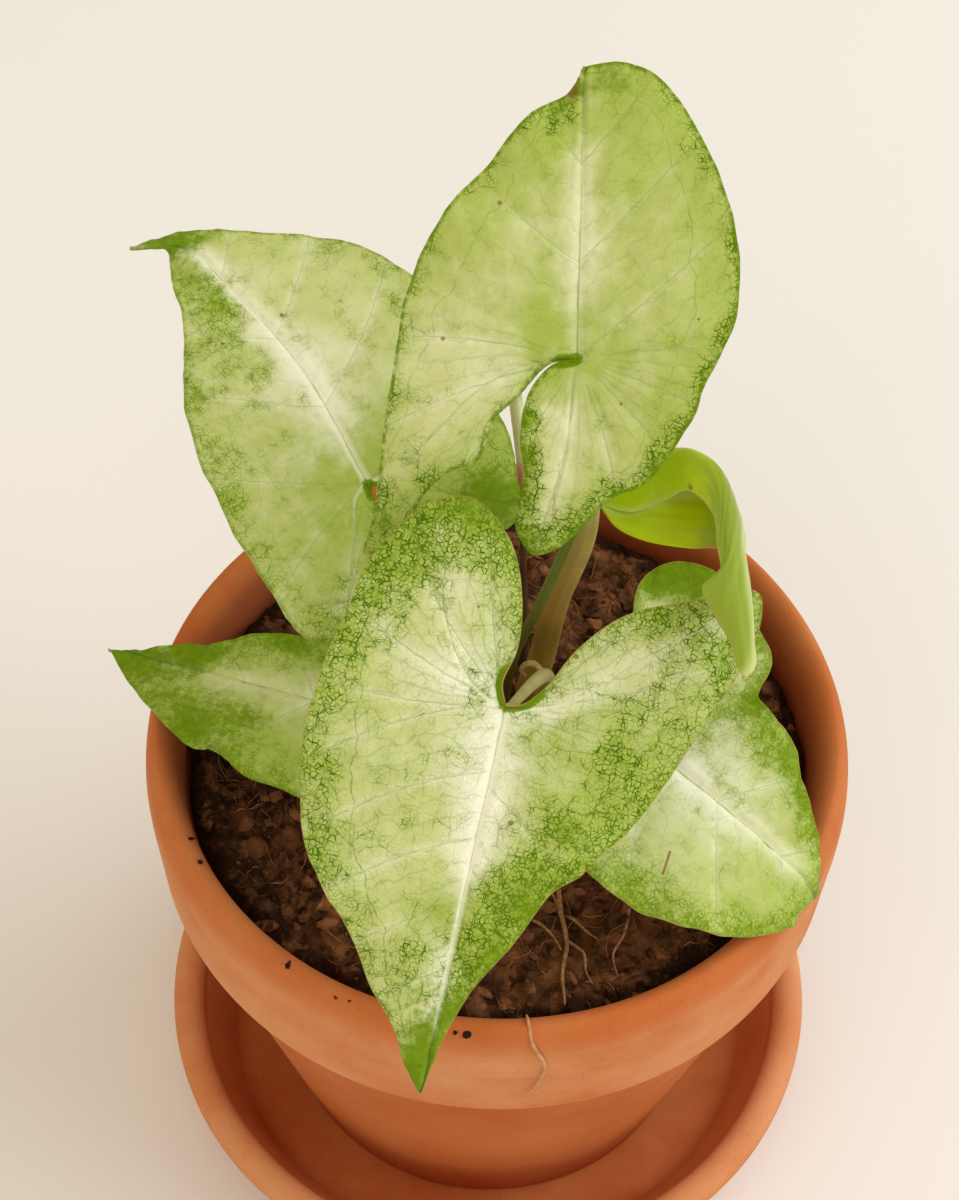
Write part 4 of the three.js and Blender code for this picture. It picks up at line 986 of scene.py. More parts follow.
def half_blade(leaf, half, vein_depth, seed):
    """One half of a blade: a grid whose rows run from a rib to the edge, in three runs round the lobe and the
    front."""
    points = leaf[("right", "left")[half]]
    lobe = min(range(len(points)), key=lambda i: points[i][1])
    flank = next(i for i in range(lobe + 1, len(points)) if points[i][1] > 0)
    spans = len(points) + 1
    knots = (0, (lobe + 1) / spans, (flank + 1) / spans, 1)
    border = [(0, 0), *points, leaf["tip"]]
    spine = [(0, 0), *leaf.get("spine", ()), leaf["tip"]]
    rib = np.array(leaf["ribs"][half], float)

    def basal(share):
        bend = 2 * share * (1 - share)
        return np.stack([bend * rib[0] * 0.6 + share ** 2 * rib[0], share ** 2 * rib[1]], -1)

    def rim_at(share):
        """The edge, with small bumps that fade out at its two ends."""
        line = smooth_curve(border, share)
        bumps = sum(height * wander(line, length, seed + 3 + i) for i, (height, length) in enumerate(RIM_BUMPS))
        bumps = bumps * np.sin(math.pi * share)
        return line * (1 + bumps / np.maximum(np.hypot(line[:, 0], line[:, 1]), 6))[:, None]

    reach = np.linspace(0, 1, COLUMNS + 1)
    flats, counts, pitches, turns = [], [], [], []
    for run, rows in enumerate(RUN_ROWS):
        share = np.linspace(0, 1, rows + 1)
        rim = rim_at(knots[run] + (knots[run + 1] - knots[run]) * share)
        root = (basal(share), basal(1 - share), None)[run]
        if root is None:
            root = even_curve(spine, share ** SPINE_EASE)
        flat = root[:, None] + (rim - root)[:, None] * reach[None, :, None]
        count = vein_count(leaf, half, run, flat[..., 0], flat[..., 1])
        by_row, by_column = np.gradient(flat, axis=0), np.gradient(flat, axis=1)
        count_row, count_column = np.gradient(count, axis=0), np.gradient(count, axis=1)
        area = by_row[..., 0] * by_column[..., 1] - by_row[..., 1] * by_column[..., 0]
        area = np.where(np.abs(area) < 1e-5, 1e-5, area)
        slope = np.stack([by_column[..., 1] * count_row - by_row[..., 1] * count_column,
                          by_row[..., 0] * count_column - by_column[..., 0] * count_row], -1) / area[..., None]
        flats.append(flat)
        counts.append(count)
        pitches.append(np.clip(1 / np.maximum(np.linalg.norm(slope, axis=-1), 1e-4), 0.3, 40))
        turns.append(RUFFLE_WAVES * (sum(RUN_SHARE[:run]) + RUN_SHARE[run] * share) + half * RUFFLE_SHIFT)

    flat, count, pitch, turn = (joined(runs) for runs in (flats, counts, pitches, turns))
    turn = turn[:, None]
    flat_list = flat.reshape(-1, 2)
    margin = distance_to(flat_list, rim_at(np.linspace(0, 1, 260)))[0].reshape(turn.shape[0], -1)
    steps = np.linspace(0, 1, 40)
    to_spine = distance_to(flat_list, even_curve(spine, steps), np.interp(steps, (0, 1), MIDRIB_WIDTH))
    lobe_end = np.array(points[lobe], float)
    onward = 0.6 * (lobe_end - rib) + 0.4 * rib
    rib_path = np.vstack([basal(steps), rib + onward * np.linspace(0.05, 0.8, 12)[:, None]])
    to_rib = distance_to(flat_list, rib_path, np.linspace(*LOBE_RIB_WIDTH, len(rib_path)))
    shape = margin.shape
    near = np.minimum(to_spine[0], to_rib[0]).reshape(shape)
    near_spine, near_rib = to_spine[0].reshape(shape), to_rib[0].reshape(shape)
    scaled = np.minimum(to_spine[1], 1.3 * to_rib[1] + 0.25).reshape(shape)

    x, y = flat[..., 0], flat[..., 1]
    centre = np.hypot(x, y)
    off_vein = np.abs(np.mod(count + 0.5, 1) - 0.5)
    fade = 1 - reach[None] ** 4
    relief = -vein_depth * bell(scaled, 1) + 0.4 * vein_depth * bell(scaled - 2, 0.9)
    relief -= 0.4 * vein_depth * bell(off_vein * pitch, 0.55) * fade * ease(pitch, 1.5, 4)
    relief += 0.4 * np.sin(math.pi * off_vein) * np.sin(math.pi * reach)[None] * ease(pitch, 2, 6)
    relief += 0.09 * wander(flat, 3.2, seed) + 0.12 * wander(flat, 9, seed + 1)
    crimp = ease(margin, 3.2, 0.3) * ease(centre, 6, 14)
    for number, (height, rate) in enumerate(CRIMPS):
        relief += crimp * height * np.sin(turn * math.tau * rate + (number + 1) * seed)
    notch = ease(margin, 1.2, 0.6) * ease(centre, leaf["notch"] + 1.5, leaf["notch"])
    halfway = np.clip(0.27 * (margin + near), 0.5, 8.5)
    collector = margin - halfway - 1.1 * (2 * (0.5 - off_vein)) ** 2 * ease(pitch, 3, 8)
    relief += 0.35 * notch
    wave = leaf["ruffle"] * reach[None] ** 3 * np.sin(math.tau * turn)

    rows = sum(RUN_ROWS)
    piece = new_grid("half", rows, COLUMNS)
    set_places(piece, blade_places(leaf, x, y, wave + relief).reshape(-1, 3))
    row, column, face_row = grid_corners(piece, COLUMNS)
    run_of = (face_row >= RUN_ROWS[0]).astype(int) + (face_row >= RUN_ROWS[0] + RUN_ROWS[1])
    starts = np.array([0, RUN_ROWS[0], RUN_ROWS[0] + RUN_ROWS[1]])[run_of]
    corner_count, corner_pitch = np.zeros(len(row)), np.zeros(len(row))
    for run in range(3):
        mine = run_of == run
        corner_count[mine] = counts[run][(row - starts)[mine], column[mine]]
        corner_pitch[mine] = pitches[run][(row - starts)[mine], column[mine]]
    at = flat[row, column]
    give_map(piece, "flat", (at[:, 0] - FLAT_CORNER[0]) / BLADE_SPAN, (at[:, 1] - FLAT_CORNER[1]) / BLADE_SPAN)
    give_map(piece, "veins", corner_count, corner_pitch / VEIN_UNIT)
    amount, width = leaf["edge"]
    net, solid, tints, milk = (patches(x, y, leaf.get(key, ())) for key in ("net", "solid", "tints", "milk"))
    green = net + amount * bell(margin, width) - 0.35 * bell(near_spine, 2.5)
    zone = 5.5 - 3.5 * np.clip(y / leaf["tip"][1], 0, 1)
    cream = 0.9 * bell(near_spine, zone) + 0.35 * bell(near_rib, 3) + 0.7 * bell(centre, 14)
    cream += 0.2 * wander(flat, 11, seed + 2) + milk
    base, border, bright = leaf["tone"]
    wash = base + border * bell(margin, 8) + 0.3 * net + tints - 0.3 * bell(near, 3)
    values = {"margin": margin, "rib": scaled, "green": np.clip(green, -0.6, 1.4),
              "solid": np.clip(solid, 0, 1.4) + 2 * notch, "collector": collector,
              "cream": np.clip(cream * bright, 0, 1), "wash": wash}
    for name, value in values.items():
        give_value(piece, name, value)
    return piece


def open_blade(key, sizes, colours, seed):
    """A blade from its two halves, joined along the midrib and thickened, thinner towards its edge."""
    leaf = LEAVES[key]
    halves = [half_blade(leaf, half, sizes.vein_depth / MM, seed + 5 * half) for half in (0, 1)]
    pick(*halves)
    bpy.ops.object.join()
    piece = named(f"blade_{key}")
    close_up(piece)
    mesh = piece.data
    up = Vector(blade_axes(leaf)[2])
    if sum(p.normal.dot(up) * p.area for p in mesh.polygons) < 0:
        mesh.flip_normals()
    margin = np.empty(len(mesh.vertices), np.float32)
    mesh.attributes["margin"].data.foreach_get("value", margin)
    group = piece.vertex_groups.new(name="body")
    for i, weight in enumerate(0.5 + 0.5 * ease(margin, 0, 2.5)):
        group.add([i], float(weight), "REPLACE")
    thicken(piece, sizes.blade_thickness, group.name)
    border = "leaf_margin_dry" if leaf["look"][3] > 0.5 else "leaf_margin_green"
    materials = [leaf_tissue(f"variegated_leaf_{key}", leaf, seed, colours),
                 bpy.data.materials["leaf_underside"], bpy.data.materials[border]]
    return finish_piece(piece, materials, [f"leaf_blade_{key}"])


def thicken(piece, thickness, group=""):
    """Gives a sheet its thickness, with the second material beneath and the third round the border."""
    pick(piece)
    solid = piece.modifiers.new("thickness", "SOLIDIFY")
    solid.thickness = thickness
    solid.offset = 0
    solid.vertex_group = group
    solid.material_offset = 1
    solid.material_offset_rim = 2
    bpy.ops.object.modifier_apply(modifier=solid.name)


# ---- settings that a user would change ----

class ArrowheadSizes(bpy.types.PropertyGroup):
    turn_steps: bpy.props.IntProperty(
        name="Turning steps", description="Faces round the pot and the saucer", default=192, min=24, max=512)
    blade_thickness: bpy.props.FloatProperty(
        name="Blade thickness", description="Thickness of an open blade at its middle", default=0.6 * MM,
        min=0.2 * MM, max=1.5 * MM, subtype="DISTANCE", unit="LENGTH")
    vein_depth: bpy.props.FloatProperty(
        name="Vein depth", description="How deep the midrib lies in the upper face", default=0.32 * MM,
        min=0, max=1 * MM, subtype="DISTANCE", unit="LENGTH")
    crumbs: bpy.props.IntProperty(
        name="Crumbs", description="Loose crumbs on the soil", default=2400, min=0, max=6000)
    fibres: bpy.props.IntProperty(
        name="Fibres", description="Coir fibres and fine roots on the soil", default=420, min=0, max=800)


# name of the colour, its label, what it colours, and its sRGB value
COLOURS = (
    ("cream", "Cream tissue", "Tissue along the veins", "#F6F8DC"),
    ("pale", "Pale tissue", "Tissue between the veins", "#CCD48C"),
    ("wash", "Green wash", "Tissue of the netted patches", "#ABBE56"),
    ("green", "Green tissue", "Plain green tissue", "#688808"),
    ("net", "Net", "Fine veins of the net", "#466C06"),
    ("mesh", "Mesh green", "Colour of the darker meshes in the netted patches", "#8CAA1C"),
    ("vein", "Vein line", "Line in the groove of a vein", "#8E9E3C"),
    ("edge", "Leaf edge", "Thread round a blade", "#A98A50"),
    ("mark", "Scar", "Spots and scars on a blade", "#8A5A32"),
    ("underside", "Underside", "Lower face of a blade", "#AFBE6E"),
    # the young colour is partly painted light through the leaf's base, and the deeper one is partly painted
    # shade on the roll
    ("young", "Young leaf", "Rolled young leaf", "#B6D206"),
    ("young_dark", "Young leaf, deep", "Its deeper parts", "#8CA232"),
    # the pale young colour also paints the highlights on the crease, the crest and the roll's edge
    ("young_light", "Young leaf, pale", "Its midrib, crest and streaks", "#CCD684"),
    ("clay", "Clay", "Fired clay", "#C66B33"),
    ("clay_light", "Pale clay", "Lighter fired clay", "#D6884F"),
    ("clay_dust", "Lime dust", "Lime bloom on the rim band and the saucer's lip", "#E0AE84"),
    # the damp clay colour also paints shade in the saucer's well, under the rim band and inside the rim
    ("clay_damp", "Damp clay", "Clay that water darkens", "#9E4014"),
    ("clay_fleck", "Clay fleck", "Grit in the clay", "#7A3A1C"),
    ("soil", "Soil", "Potting soil", "#744A2A"),
    # the dark soil is also the colour that the painted shade along the wall and under the leaves runs to
    ("soil_dark", "Dark soil", "Damp fine soil", "#301A0B"),
    ("soil_chunk", "Bark", "Chunks of bark in the soil", "#A66C42"),
    ("stalk_foot", "Stalk foot", "Stalk at the soil", "#A08644"),
    ("stalk_head", "Stalk head", "Stalk at the blade", "#A9BA66"),
    ("blush", "Blush", "Red blush on stalks", "#C2604E"),
    ("sheath", "Dry sheath", "Withered leaf sheath", "#B8A462"),
    ("root", "Root", "Bare roots", "#BC8856"),
    ("floor", "Floor", "Painted board under the pot", "#F7F6F0"),
)


class ArrowheadColours(bpy.types.PropertyGroup):
    __annotations__ = {key: bpy.props.StringProperty(name=label, description=use, default=code)
                       for key, label, use, code in COLOURS}


class ArrowheadStage(bpy.types.PropertyGroup):
    fill: bpy.props.FloatProperty(name="Fill", description="Strength of the light from all round", default=0.6,
                                  min=0, max=5)
    key_power: bpy.props.FloatProperty(name="Key light", description="Power of the large soft light",
                                       default=27, min=0, subtype="POWER", unit="POWER")
    key_size: bpy.props.FloatProperty(name="Key size", description="Side of the soft light", default=2.0,
                                      min=0.05, subtype="DISTANCE", unit="LENGTH")


# ---- operators ----

class ARROWHEAD_OT_stage(bpy.types.Operator):
    """Adds the camera, the soft lights and the pale floor"""
    bl_idname = "arrowhead.stage"
    bl_label = "Stage"

    def execute(self, context):
        stage = context.scene.arrowhead_stage
        deselect()
        bpy.ops.object.camera_add(location=Vector(CAMERA_PLACE) * MM)
        camera = named("camera")
        tilt = Matrix.Rotation(math.radians(90 - CAMERA_ELEVATION), 3, "X")
        camera.rotation_euler = (tilt @ Matrix.Rotation(math.radians(CAMERA_ROLL), 3, "Z")).to_euler()
        camera.data.lens = CAMERA_LENS
        camera.data.sensor_width = CAMERA_SENSOR
        camera.data.clip_start, camera.data.clip_end = 0.01, 20
        context.scene.camera = camera

        world = bpy.data.worlds.new("studio")
        world.use_nodes = True
        sky = world.node_tree.nodes["Background"]
        sky.inputs["Color"].default_value = linear("#FFF0DA")
        sky.inputs["Strength"].default_value = stage.fill
        context.scene.world = world
        context.scene.view_settings.view_transform = "Standard"

        for name, place, size, power, tint in (
                ("key_light", (1.5, 0.1, 1.3), stage.key_size, stage.key_power, "#EAF3FF"),
                ("front_light", (-0.35, -1.0, 1.3), 1.4, stage.key_power * 0.24, "#FFF8EE")):
            bpy.ops.object.light_add(type="AREA", location=place)
            light = named(name)
            light.data.shape = "SQUARE"
            light.data.size = size
            light.data.energy = power
            light.data.color = linear(tint)[:3]
            light.rotation_euler = (Vector((0, 0, 0.1)) - Vector(place)).to_track_quat("-Z", "Y").to_euler()

        deselect()
        bpy.ops.mesh.primitive_plane_add(size=8)
        floor = named("floor")
        bpy.ops.object.mode_set(mode="EDIT")
        bpy.ops.mesh.subdivide(number_cuts=7)
        bpy.ops.object.mode_set(mode="OBJECT")
        floor.data.materials.append(painted_floor("painted_board", context.scene.arrowhead_colours.floor))
        return {"FINISHED"}


class ARROWHEAD_OT_clay(bpy.types.Operator):
    """Turns the pot and its saucer"""
    bl_idname = "arrowhead.clay"
    bl_label = "Pot and saucer"

    def execute(self, context):
        sizes, colours = context.scene.arrowhead_sizes, context.scene.arrowhead_colours
        steps = sizes.turn_steps
        saucer_profile = [
            (10, 0), (30, 0), (47, 0), (51.2, 0), *arc_points((51.2, 1.6), (1.6, 1.6), -75, -20, 4),
            *straight((52.9, 1.3), (65.2, 17.2), 14),
            *arc_points((62.3, SAUCER_HEIGHT - SAUCER_LIP), (SAUCER_LIP, SAUCER_LIP), -10, 190, 19),
            *straight((59.1, 18.2), (53.6, 8.4), 9),
            *arc_points((49.8, 9.6), (3.8, 3.6), -22, -90, 7),
            (44, 6.05), (34, 6), (22, 6), (10, 6.05), (3, 6), (0, 6)]
        saucer = turned("saucer_clay", saucer_profile, steps, True)
        stray_from_true(saucer, CLAY_TURN, 0.7)
        clay = terracotta("terracotta_saucer", colours, 2, 19, 0.1)
        finish_piece(saucer, [clay], ["saucer"], 40)

        rim = (RIM_CROWN, POT_HEIGHT - RIM_RISE)
        pot_profile = [
            (6, 6.3), (6.2, 14), (7.4, 14.6), (20, 14.3), (34, 14.3), (37.4, 15.6),
            *straight((37.8, 17), (58.3, 104.6), 12),
            *arc_points(rim, (4, RIM_RISE), 178, 92, 10), *arc_points(rim, (2.7, RIM_RISE), 88, 4, 10),
            *straight((64.98, 105), (63.7, 87.4), 8),
            *arc_points((62.2, 86.6), (1.5, 1.6), -4, -80, 5), (61.3, 84.6),
            *straight((60.6, 83.2), (41.3, 8.4), 16),
            *arc_points((39.6, 8), (1.6, 1.7), -10, -85, 5), (36, 6.3), (20, 6.3), (6, 6.3)]
        pot = turned("pot_clay", pot_profile, steps, False)
        stray_from_true(pot, CLAY_TURN, 2.3)
        clay = terracotta("terracotta_pot", colours, 14, BAND_FOOT, 0.4)
        finish_piece(pot, [clay], ["pot"], 40)
        return {"FINISHED"}


class ARROWHEAD_OT_soil(bpy.types.Operator):
    """Fills the pot with soil, and strews crumbs and fibres on it"""
    bl_idname = "arrowhead.soil"
    bl_label = "Soil"

    def execute(self, context):
        sizes, colours = context.scene.arrowhead_sizes, context.scene.arrowhead_colours
        rings = [(SOIL_EDGE * i / SOIL_RINGS, SOIL_TOP) for i in range(SOIL_RINGS, -1, -1)]
        foot, shoulder = (SOIL_FOOT, SOIL_FLOOR), (56.9, 101.5)
        profile = [(10, SOIL_FLOOR), foot, *straight(foot, shoulder, 6), shoulder, *rings]
        soil = turned("soil_bed", profile, 320, True)
        places = get_places(soil)
        for i in np.nonzero(places[:, 2] > SOIL_TOP - 0.5)[0]:
            places[i, 2] = soil_surface(places[i, 0], places[i, 1])
        set_places(soil, places)
        give_value(soil, "tone", 0.12 + 0.12 * wander(places, 5, 3))
        material = potting_soil("potting_soil", colours)
        finish_piece(soil, [material], ["soil"], 180)

        draw = random.Random(11)
        crumbs = self.strewn_crumbs(draw, sizes.crumbs)
        finish_piece(crumbs, [material], (), 60)
        fibres = self.strewn_fibres(draw, sizes.fibres)
        finish_piece(fibres, [potting_soil("coir_fibre", colours)], (), 180)
        return {"FINISHED"}

    def strewn_crumbs(self, draw, count):
        """Crumbs copied from one rough lump, each turned, sized and squashed in its own way."""
        deselect()
        bpy.ops.mesh.primitive_ico_sphere_add(subdivisions=2, radius=1)
        lump = named("soil_crumbs")
        corners = np.array([v.co[:] for v in lump.data.vertices])
        faces = np.array([p.vertices[:] for p in lump.data.polygons])
        places, tones = [], []
        for number in range(count + len(RIM_FLAKES)):
            x, y = spot_on_soil(draw, 0.985)
            size = 0.3 + 1.5 * draw.random() ** 2.6
            height = soil_surface(x, y) - 0.1 * size
            if number >= count:
                x, y, height, size = RIM_FLAKES[number - count]
            dents = np.array([noise.noise(Vector(c) * 1.7 + Vector((x, y, size))) for c in corners])
            squash = np.array([draw.uniform(0.7, 1.7), draw.uniform(0.6, 1.1), draw.uniform(0.4, 0.8)])
            spin = draw.uniform(0, math.tau)
            tilt = draw.uniform(-0.5, 0.5)
            shaped = corners * (1 + 0.75 * dents)[:, None] * squash * size
            cos, sin = math.cos(spin), math.sin(spin)
            about = np.array([[cos, -sin, 0], [sin, cos, 0], [0, 0, 1]])
            cos, sin = math.cos(tilt), math.sin(tilt)
            lean = np.array([[1, 0, 0], [0, cos, -sin], [0, sin, cos]])
            places.append(shaped @ (about @ lean).T + np.array([x, y, height]))
            tones.append(np.full(len(corners), max(0.0, min(0.7, draw.gauss(0.14, 0.13)))))
        starts = (np.arange(len(places)) * len(corners)).repeat(len(faces))[:, None]
        all_faces = np.tile(faces, (len(places), 1)) + starts
        refill(lump, np.vstack(places), all_faces, np.concatenate(tones))
        return lump

    def strewn_fibres(self, draw, count):
        """Fine fibres that lie along the soil, bent and half buried."""
        places, faces, tones = [], [], []
        rows, sides = 7, 5
        for _ in range(count):
            x, y = spot_on_soil(draw, 0.93)
            heading = draw.uniform(0, math.tau)
            length = draw.uniform(3, 13)
            thick = draw.uniform(0.07, 0.2)
            bend = draw.uniform(-0.35, 0.35)
            path = []
            for _ in range(rows):
                if math.hypot(x, y) > SOIL_EDGE - 0.8:
                    heading += math.pi * 0.6
                    x *= 0.97
                    y *= 0.97
                path.append((x, y, soil_surface(x, y) + 0.25 + draw.uniform(-0.25, 0.5)))
                x += math.cos(heading) * length / rows
                y += math.sin(heading) * length / rows
                heading += bend + draw.uniform(-0.25, 0.25)
            path = np.array(path)
            ahead = np.gradient(path, axis=0)
            ahead /= np.linalg.norm(ahead, axis=1)[:, None]
            side = np.cross(ahead, (0, 0, 1))
            other = np.cross(side, ahead)
            start = len(places)
            for row in range(rows):
                wide = thick * (0.25 if row in (0, rows - 1) else 1)
                for k in range(sides):
                    angle = math.tau * k / sides
                    out = side[row] * math.cos(angle) + other[row] * math.sin(angle)
                    places.append(path[row] + wide * out)
            for row in range(rows - 1):
                for k in range(sides):
                    a, b = start + row * sides + k, start + row * sides + (k + 1) % sides
                    faces.append((a, a + sides, b + sides, b))
            faces.append(tuple(start + k for k in range(sides)))
            faces.append(tuple(start + (rows - 1) * sides + k for k in range(sides - 1, -1, -1)))
            tones.extend([draw.uniform(0.1, 0.75)] * (rows * sides))
        deselect()
        bpy.ops.mesh.primitive_cylinder_add(vertices=sides, radius=0.001, depth=0.01)
        piece = named("soil_fibres")
        refill(piece, places, faces, tones)
        close_up(piece, 0.0001)
        return piece


class ARROWHEAD_OT_blades(bpy.types.Operator):
    """Makes the five open blades"""
    bl_idname = "arrowhead.blades"
    bl_label = "Open blades"

    def execute(self, context):
        sizes, colours = context.scene.arrowhead_sizes, context.scene.arrowhead_colours
        leaf_underside("leaf_underside", colours)
        leaf_margin("leaf_margin_dry", colours.edge, colours.wash)
        leaf_margin("leaf_margin_green", colours.green, colours.wash)
        for number, key in enumerate(LEAVES):
            open_blade(key, sizes, colours, number + 1)
        return {"FINISHED"}


class ARROWHEAD_OT_young_leaf(bpy.types.Operator):
    """Makes the young leaf, which is still rolled"""
    bl_idname = "arrowhead.young_leaf"
    bl_label = "Young leaf"

    def execute(self, context):
        sizes, colours = context.scene.arrowhead_sizes, context.scene.arrowhead_colours
        share = np.linspace(0, 1, YOUNG_ROWS + 1)
        lines = [smooth_curve([YOUNG_BASE, *line, YOUNG_TIP], share) for line in YOUNG_LINES]
        across = np.linspace(0, 1, YOUNG_COLUMNS + 1)
        sheet = np.empty((YOUNG_ROWS + 1, YOUNG_COLUMNS + 1, 3))
        for row in range(YOUNG_ROWS + 1):
            ribs = [line[row] for line in lines]
            if row in (0, YOUNG_ROWS):
                sheet[row] = ribs[0]
            else:
                sheet[row] = smooth_curve(ribs, across, 0.5)
        widths = np.linalg.norm(np.diff(sheet, axis=1), axis=2)
        from_edge = np.concatenate([np.zeros((YOUNG_ROWS + 1, 1)), np.cumsum(widths, axis=1)], axis=1)
        margin = np.minimum(from_edge, from_edge[:, -1:] - from_edge)
        rib_column = YOUNG_COLUMNS // 3
        rib = np.abs(from_edge - from_edge[:, rib_column:rib_column + 1])
        normal = np.cross(np.gradient(sheet, axis=0), np.gradient(sheet, axis=1))
        normal /= np.maximum(np.linalg.norm(normal, axis=2), 1e-9)[..., None]
        relief = -0.3 * np.exp(-(rib / 0.9) ** 2) * ease(share, 0.02, 0.2)[:, None]
        lengthwise = share[:, None] * 70        # place along the sheet, for waves a few millimetres long
        relief += 0.05 * np.sin(from_edge * 2.1 + np.sin(lengthwise * 0.21)) * ease(margin, 0, 3)
        relief += 0.1 * np.sin(lengthwise * 0.35) * ease(margin, 2.5, 0) * ease(share, 0.05, 0.2)[:, None]
        sheet = sheet - normal * relief[..., None]
        piece = new_grid("blade_young", YOUNG_ROWS, YOUNG_COLUMNS)
        set_places(piece, sheet.reshape(-1, 3))
        row, column, _ = grid_corners(piece, YOUNG_COLUMNS)
        give_map(piece, "flat", row / YOUNG_ROWS, column / YOUNG_COLUMNS)
        give_value(piece, "margin", margin)
        give_value(piece, "rib", rib)
        close_up(piece)
        thicken(piece, sizes.blade_thickness * 0.9)
        tissue = young_tissue("young_leaf", colours)
        border = leaf_margin("leaf_margin_young", colours.young_light, colours.edge)
        finish_piece(piece, [tissue, tissue, border], ["leaf_blade_young"])
        return {"FINISHED"}


class ARROWHEAD_OT_stalks(bpy.types.Operator):
    """Makes the stalks of the six leaves"""
    bl_idname = "arrowhead.stalks"
    bl_label = "Stalks"

    def execute(self, context):
        colours = context.scene.arrowhead_colours
        looks = {
            "front": ("#8C7A34", "#B4B26C", "#A9A860", 0.0),
            "tall": ("#B88E44", "#A8A860", "#907A38", 0.3),
            "back_left": (colours.stalk_foot, "#B08A5C", colours.blush, 0.95),
            "low_left": (colours.stalk_foot, colours.stalk_head, "#A9A860", 0.0),
            "low_right": (colours.stalk_foot, colours.stalk_head, "#A9A860", 0.0),
            "young": ("#64521E", "#667426", "#5E6222", 0.5),
        }
        for number, (key, stalk) in enumerate(STALKS.items()):
            if key == "young":
                lean = np.array(YOUNG_LEAN)
                head = np.array(YOUNG_BASE) - lean * (STALK_CLEAR - 0.05)
            else:
                lean = blade_axes(LEAVES[key])[2]
                head = np.array(LEAVES[key]["at"]) - lean * STALK_CLEAR
            feet = [(*stalk["root"], z) for z in STALK_FEET]
            places = [*feet, *stalk["through"], head - lean * STALK_NECK, head]
            first, last = stalk["radius"]
            radii = [first * 1.02, first * 1.04, first * 0.98, *np.linspace(first * 0.96, last, 12),
                     last * 1.12]
            piece = rod(f"stalk_{key}", places, radii, 90, 28, channelled(0.14, 1.2 + number, 0.5))
            foot, top, blush, blush_at = looks[key]
            material = stalk_tissue(f"leaf_stalk_{key}", foot, top, blush, blush_at, number * 3.1)
            finish_piece(piece, [material], [f"leaf_stalk_{key}"], 80)
        return {"FINISHED"}


class ARROWHEAD_OT_furled_leaf(bpy.types.Operator):
    """Makes the furled new leaf"""
    bl_idname = "arrowhead.furled_leaf"
    bl_label = "Furled leaf"

    def execute(self, context):
        colours = context.scene.arrowhead_colours
        places = [*((*SPEAR["root"], z) for z in STALK_FEET), *SPEAR["through"]]
        start, end = SPEAR["radius"]

        def rolled(along, angle):
            lap = np.mod(angle / math.tau + along * 0.8, 1)
            return 0.88 + 0.16 * lap

        radii = [start * share for share in (1, 0.8, 0.6, 0.5, 0.45, 0.5, 0.8, 0.9, 0.7)] + [end]
        piece = rod("furled_blade", places, radii, 110, 40, rolled)
        material = stalk_tissue("furled_leaf", "#4E3420", "#D8DCA4", colours.blush, 0.6, 1.7, (0.5, 0.62))
        finish_piece(piece, [material], ["furled_leaf"], 40)
        return {"FINISHED"}


class ARROWHEAD_OT_sheath(bpy.types.Operator):
    """Makes the dry curl of leaf sheath"""
    bl_idname = "arrowhead.sheath"
    bl_label = "Dry sheath"

    def execute(self, context):
        colours = context.scene.arrowhead_colours
        places = [*((*SHEATH["root"], z) for z in STALK_FEET), *SHEATH["through"]]

        def ribbon(along, angle):
            return np.sqrt((np.cos(angle) * 0.42) ** 2 + (np.sin(angle) * 1.0) ** 2) + 0 * along

        piece = rod("sheath_curl", places, [0.9, 0.9, 0.85, 0.85, 0.8, 0.8, 0.75, 0.6, 0.45], 120, 20, ribbon)
        material = dry_tissue("dry_sheath", colours.sheath, "#8E7A40", 900.0)
        finish_piece(piece, [material], ["dry_sheath"], 80)
        return {"FINISHED"}


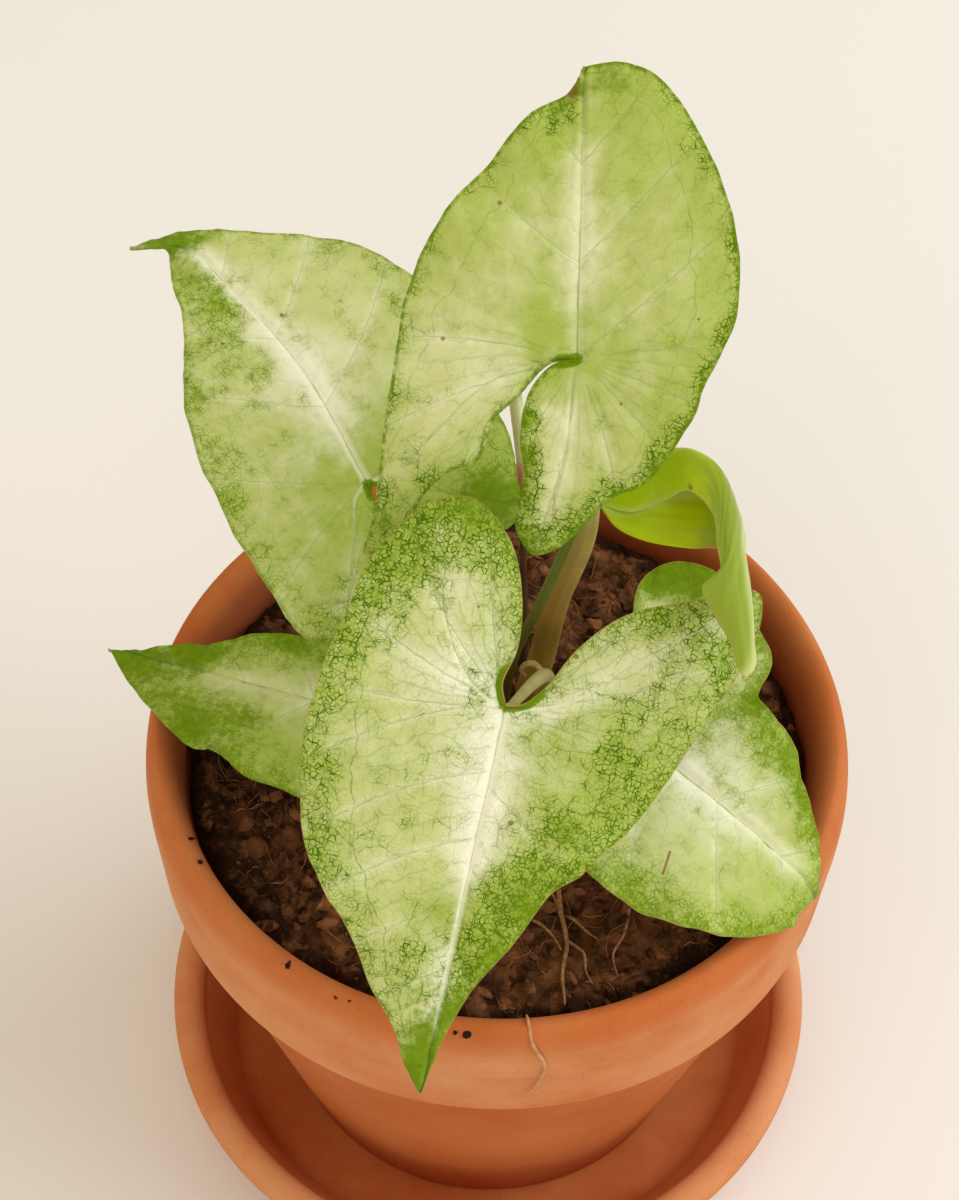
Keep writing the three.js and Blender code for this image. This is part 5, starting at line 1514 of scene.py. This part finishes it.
class ARROWHEAD_OT_roots(bpy.types.Operator):
    """Lays the bare roots on the soil and over the rim"""
    bl_idname = "arrowhead.roots"
    bl_label = "Bare roots"

    def execute(self, context):
        colours = context.scene.arrowhead_colours
        material = dry_tissue("bare_root", colours.root, "#7C5230", 1300.0)
        course = smooth_curve(ROOT_PATH, np.linspace(0, 1, 18))
        main = [(x, y, max(soil_height(x, y) + ROOT_CLEAR, soil_surface(x, y) + 0.5)) for x, y in course]
        piece = rod("root_main", main, [0.4, 0.5, 0.42, 0.4, 0.34, 0.2], 90, 14)
        finish_piece(piece, [material], ["surface_root"], 80)
        for number, branch in enumerate(ROOT_BRANCHES):
            path = [(x, y, soil_surface(x, y) + 0.6) for x, y in branch]
            piece = rod(f"root_branch_{number + 1}", path, [0.32, 0.3, 0.24, 0.12], 40, 10)
            finish_piece(piece, [material], (), 80)
        piece = rod("root_on_rim", RIM_ROOT, [0.22, 0.3, 0.34, 0.32, 0.3, 0.22, 0.14], 70, 10)
        dusty = dry_tissue("dusty_root", "#D49E70", "#B87E50", 900.0)
        finish_piece(piece, [dusty], (), 80)
        return {"FINISHED"}


class ARROWHEAD_PT_panel(bpy.types.Panel):
    """Lists the pieces of the potted arrowhead plant"""
    bl_idname = "ARROWHEAD_PT_panel"
    bl_label = "Arrowhead plant"
    bl_space_type = "VIEW_3D"
    bl_region_type = "UI"
    bl_category = "Arrowhead plant"

    def draw(self, context):
        for group in SETTINGS:
            box = self.layout.box()
            for name in group.__annotations__:
                box.prop(getattr(context.scene, SETTINGS[group]), name)
        for operator in OPERATORS:
            self.layout.operator(operator.bl_idname)


SETTINGS = {ArrowheadSizes: "arrowhead_sizes", ArrowheadColours: "arrowhead_colours",
            ArrowheadStage: "arrowhead_stage"}
OPERATORS = (ARROWHEAD_OT_stage, ARROWHEAD_OT_clay, ARROWHEAD_OT_soil, ARROWHEAD_OT_blades,
             ARROWHEAD_OT_young_leaf, ARROWHEAD_OT_stalks, ARROWHEAD_OT_furled_leaf, ARROWHEAD_OT_sheath,
             ARROWHEAD_OT_roots)


def register():
    for group, name in SETTINGS.items():
        bpy.utils.register_class(group)
        setattr(bpy.types.Scene, name, bpy.props.PointerProperty(type=group))
    for operator in (*OPERATORS, ARROWHEAD_PT_panel):
        bpy.utils.register_class(operator)


def unregister():
    for operator in reversed((*OPERATORS, ARROWHEAD_PT_panel)):
        bpy.utils.unregister_class(operator)
    for group, name in SETTINGS.items():
        delattr(bpy.types.Scene, name)
        bpy.utils.unregister_class(group)


def main():
    register()
    for operator in OPERATORS:
        group, name = operator.bl_idname.split(".")
        getattr(getattr(bpy.ops, group), name)()
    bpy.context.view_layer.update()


if __name__ == "__main__":
    main()
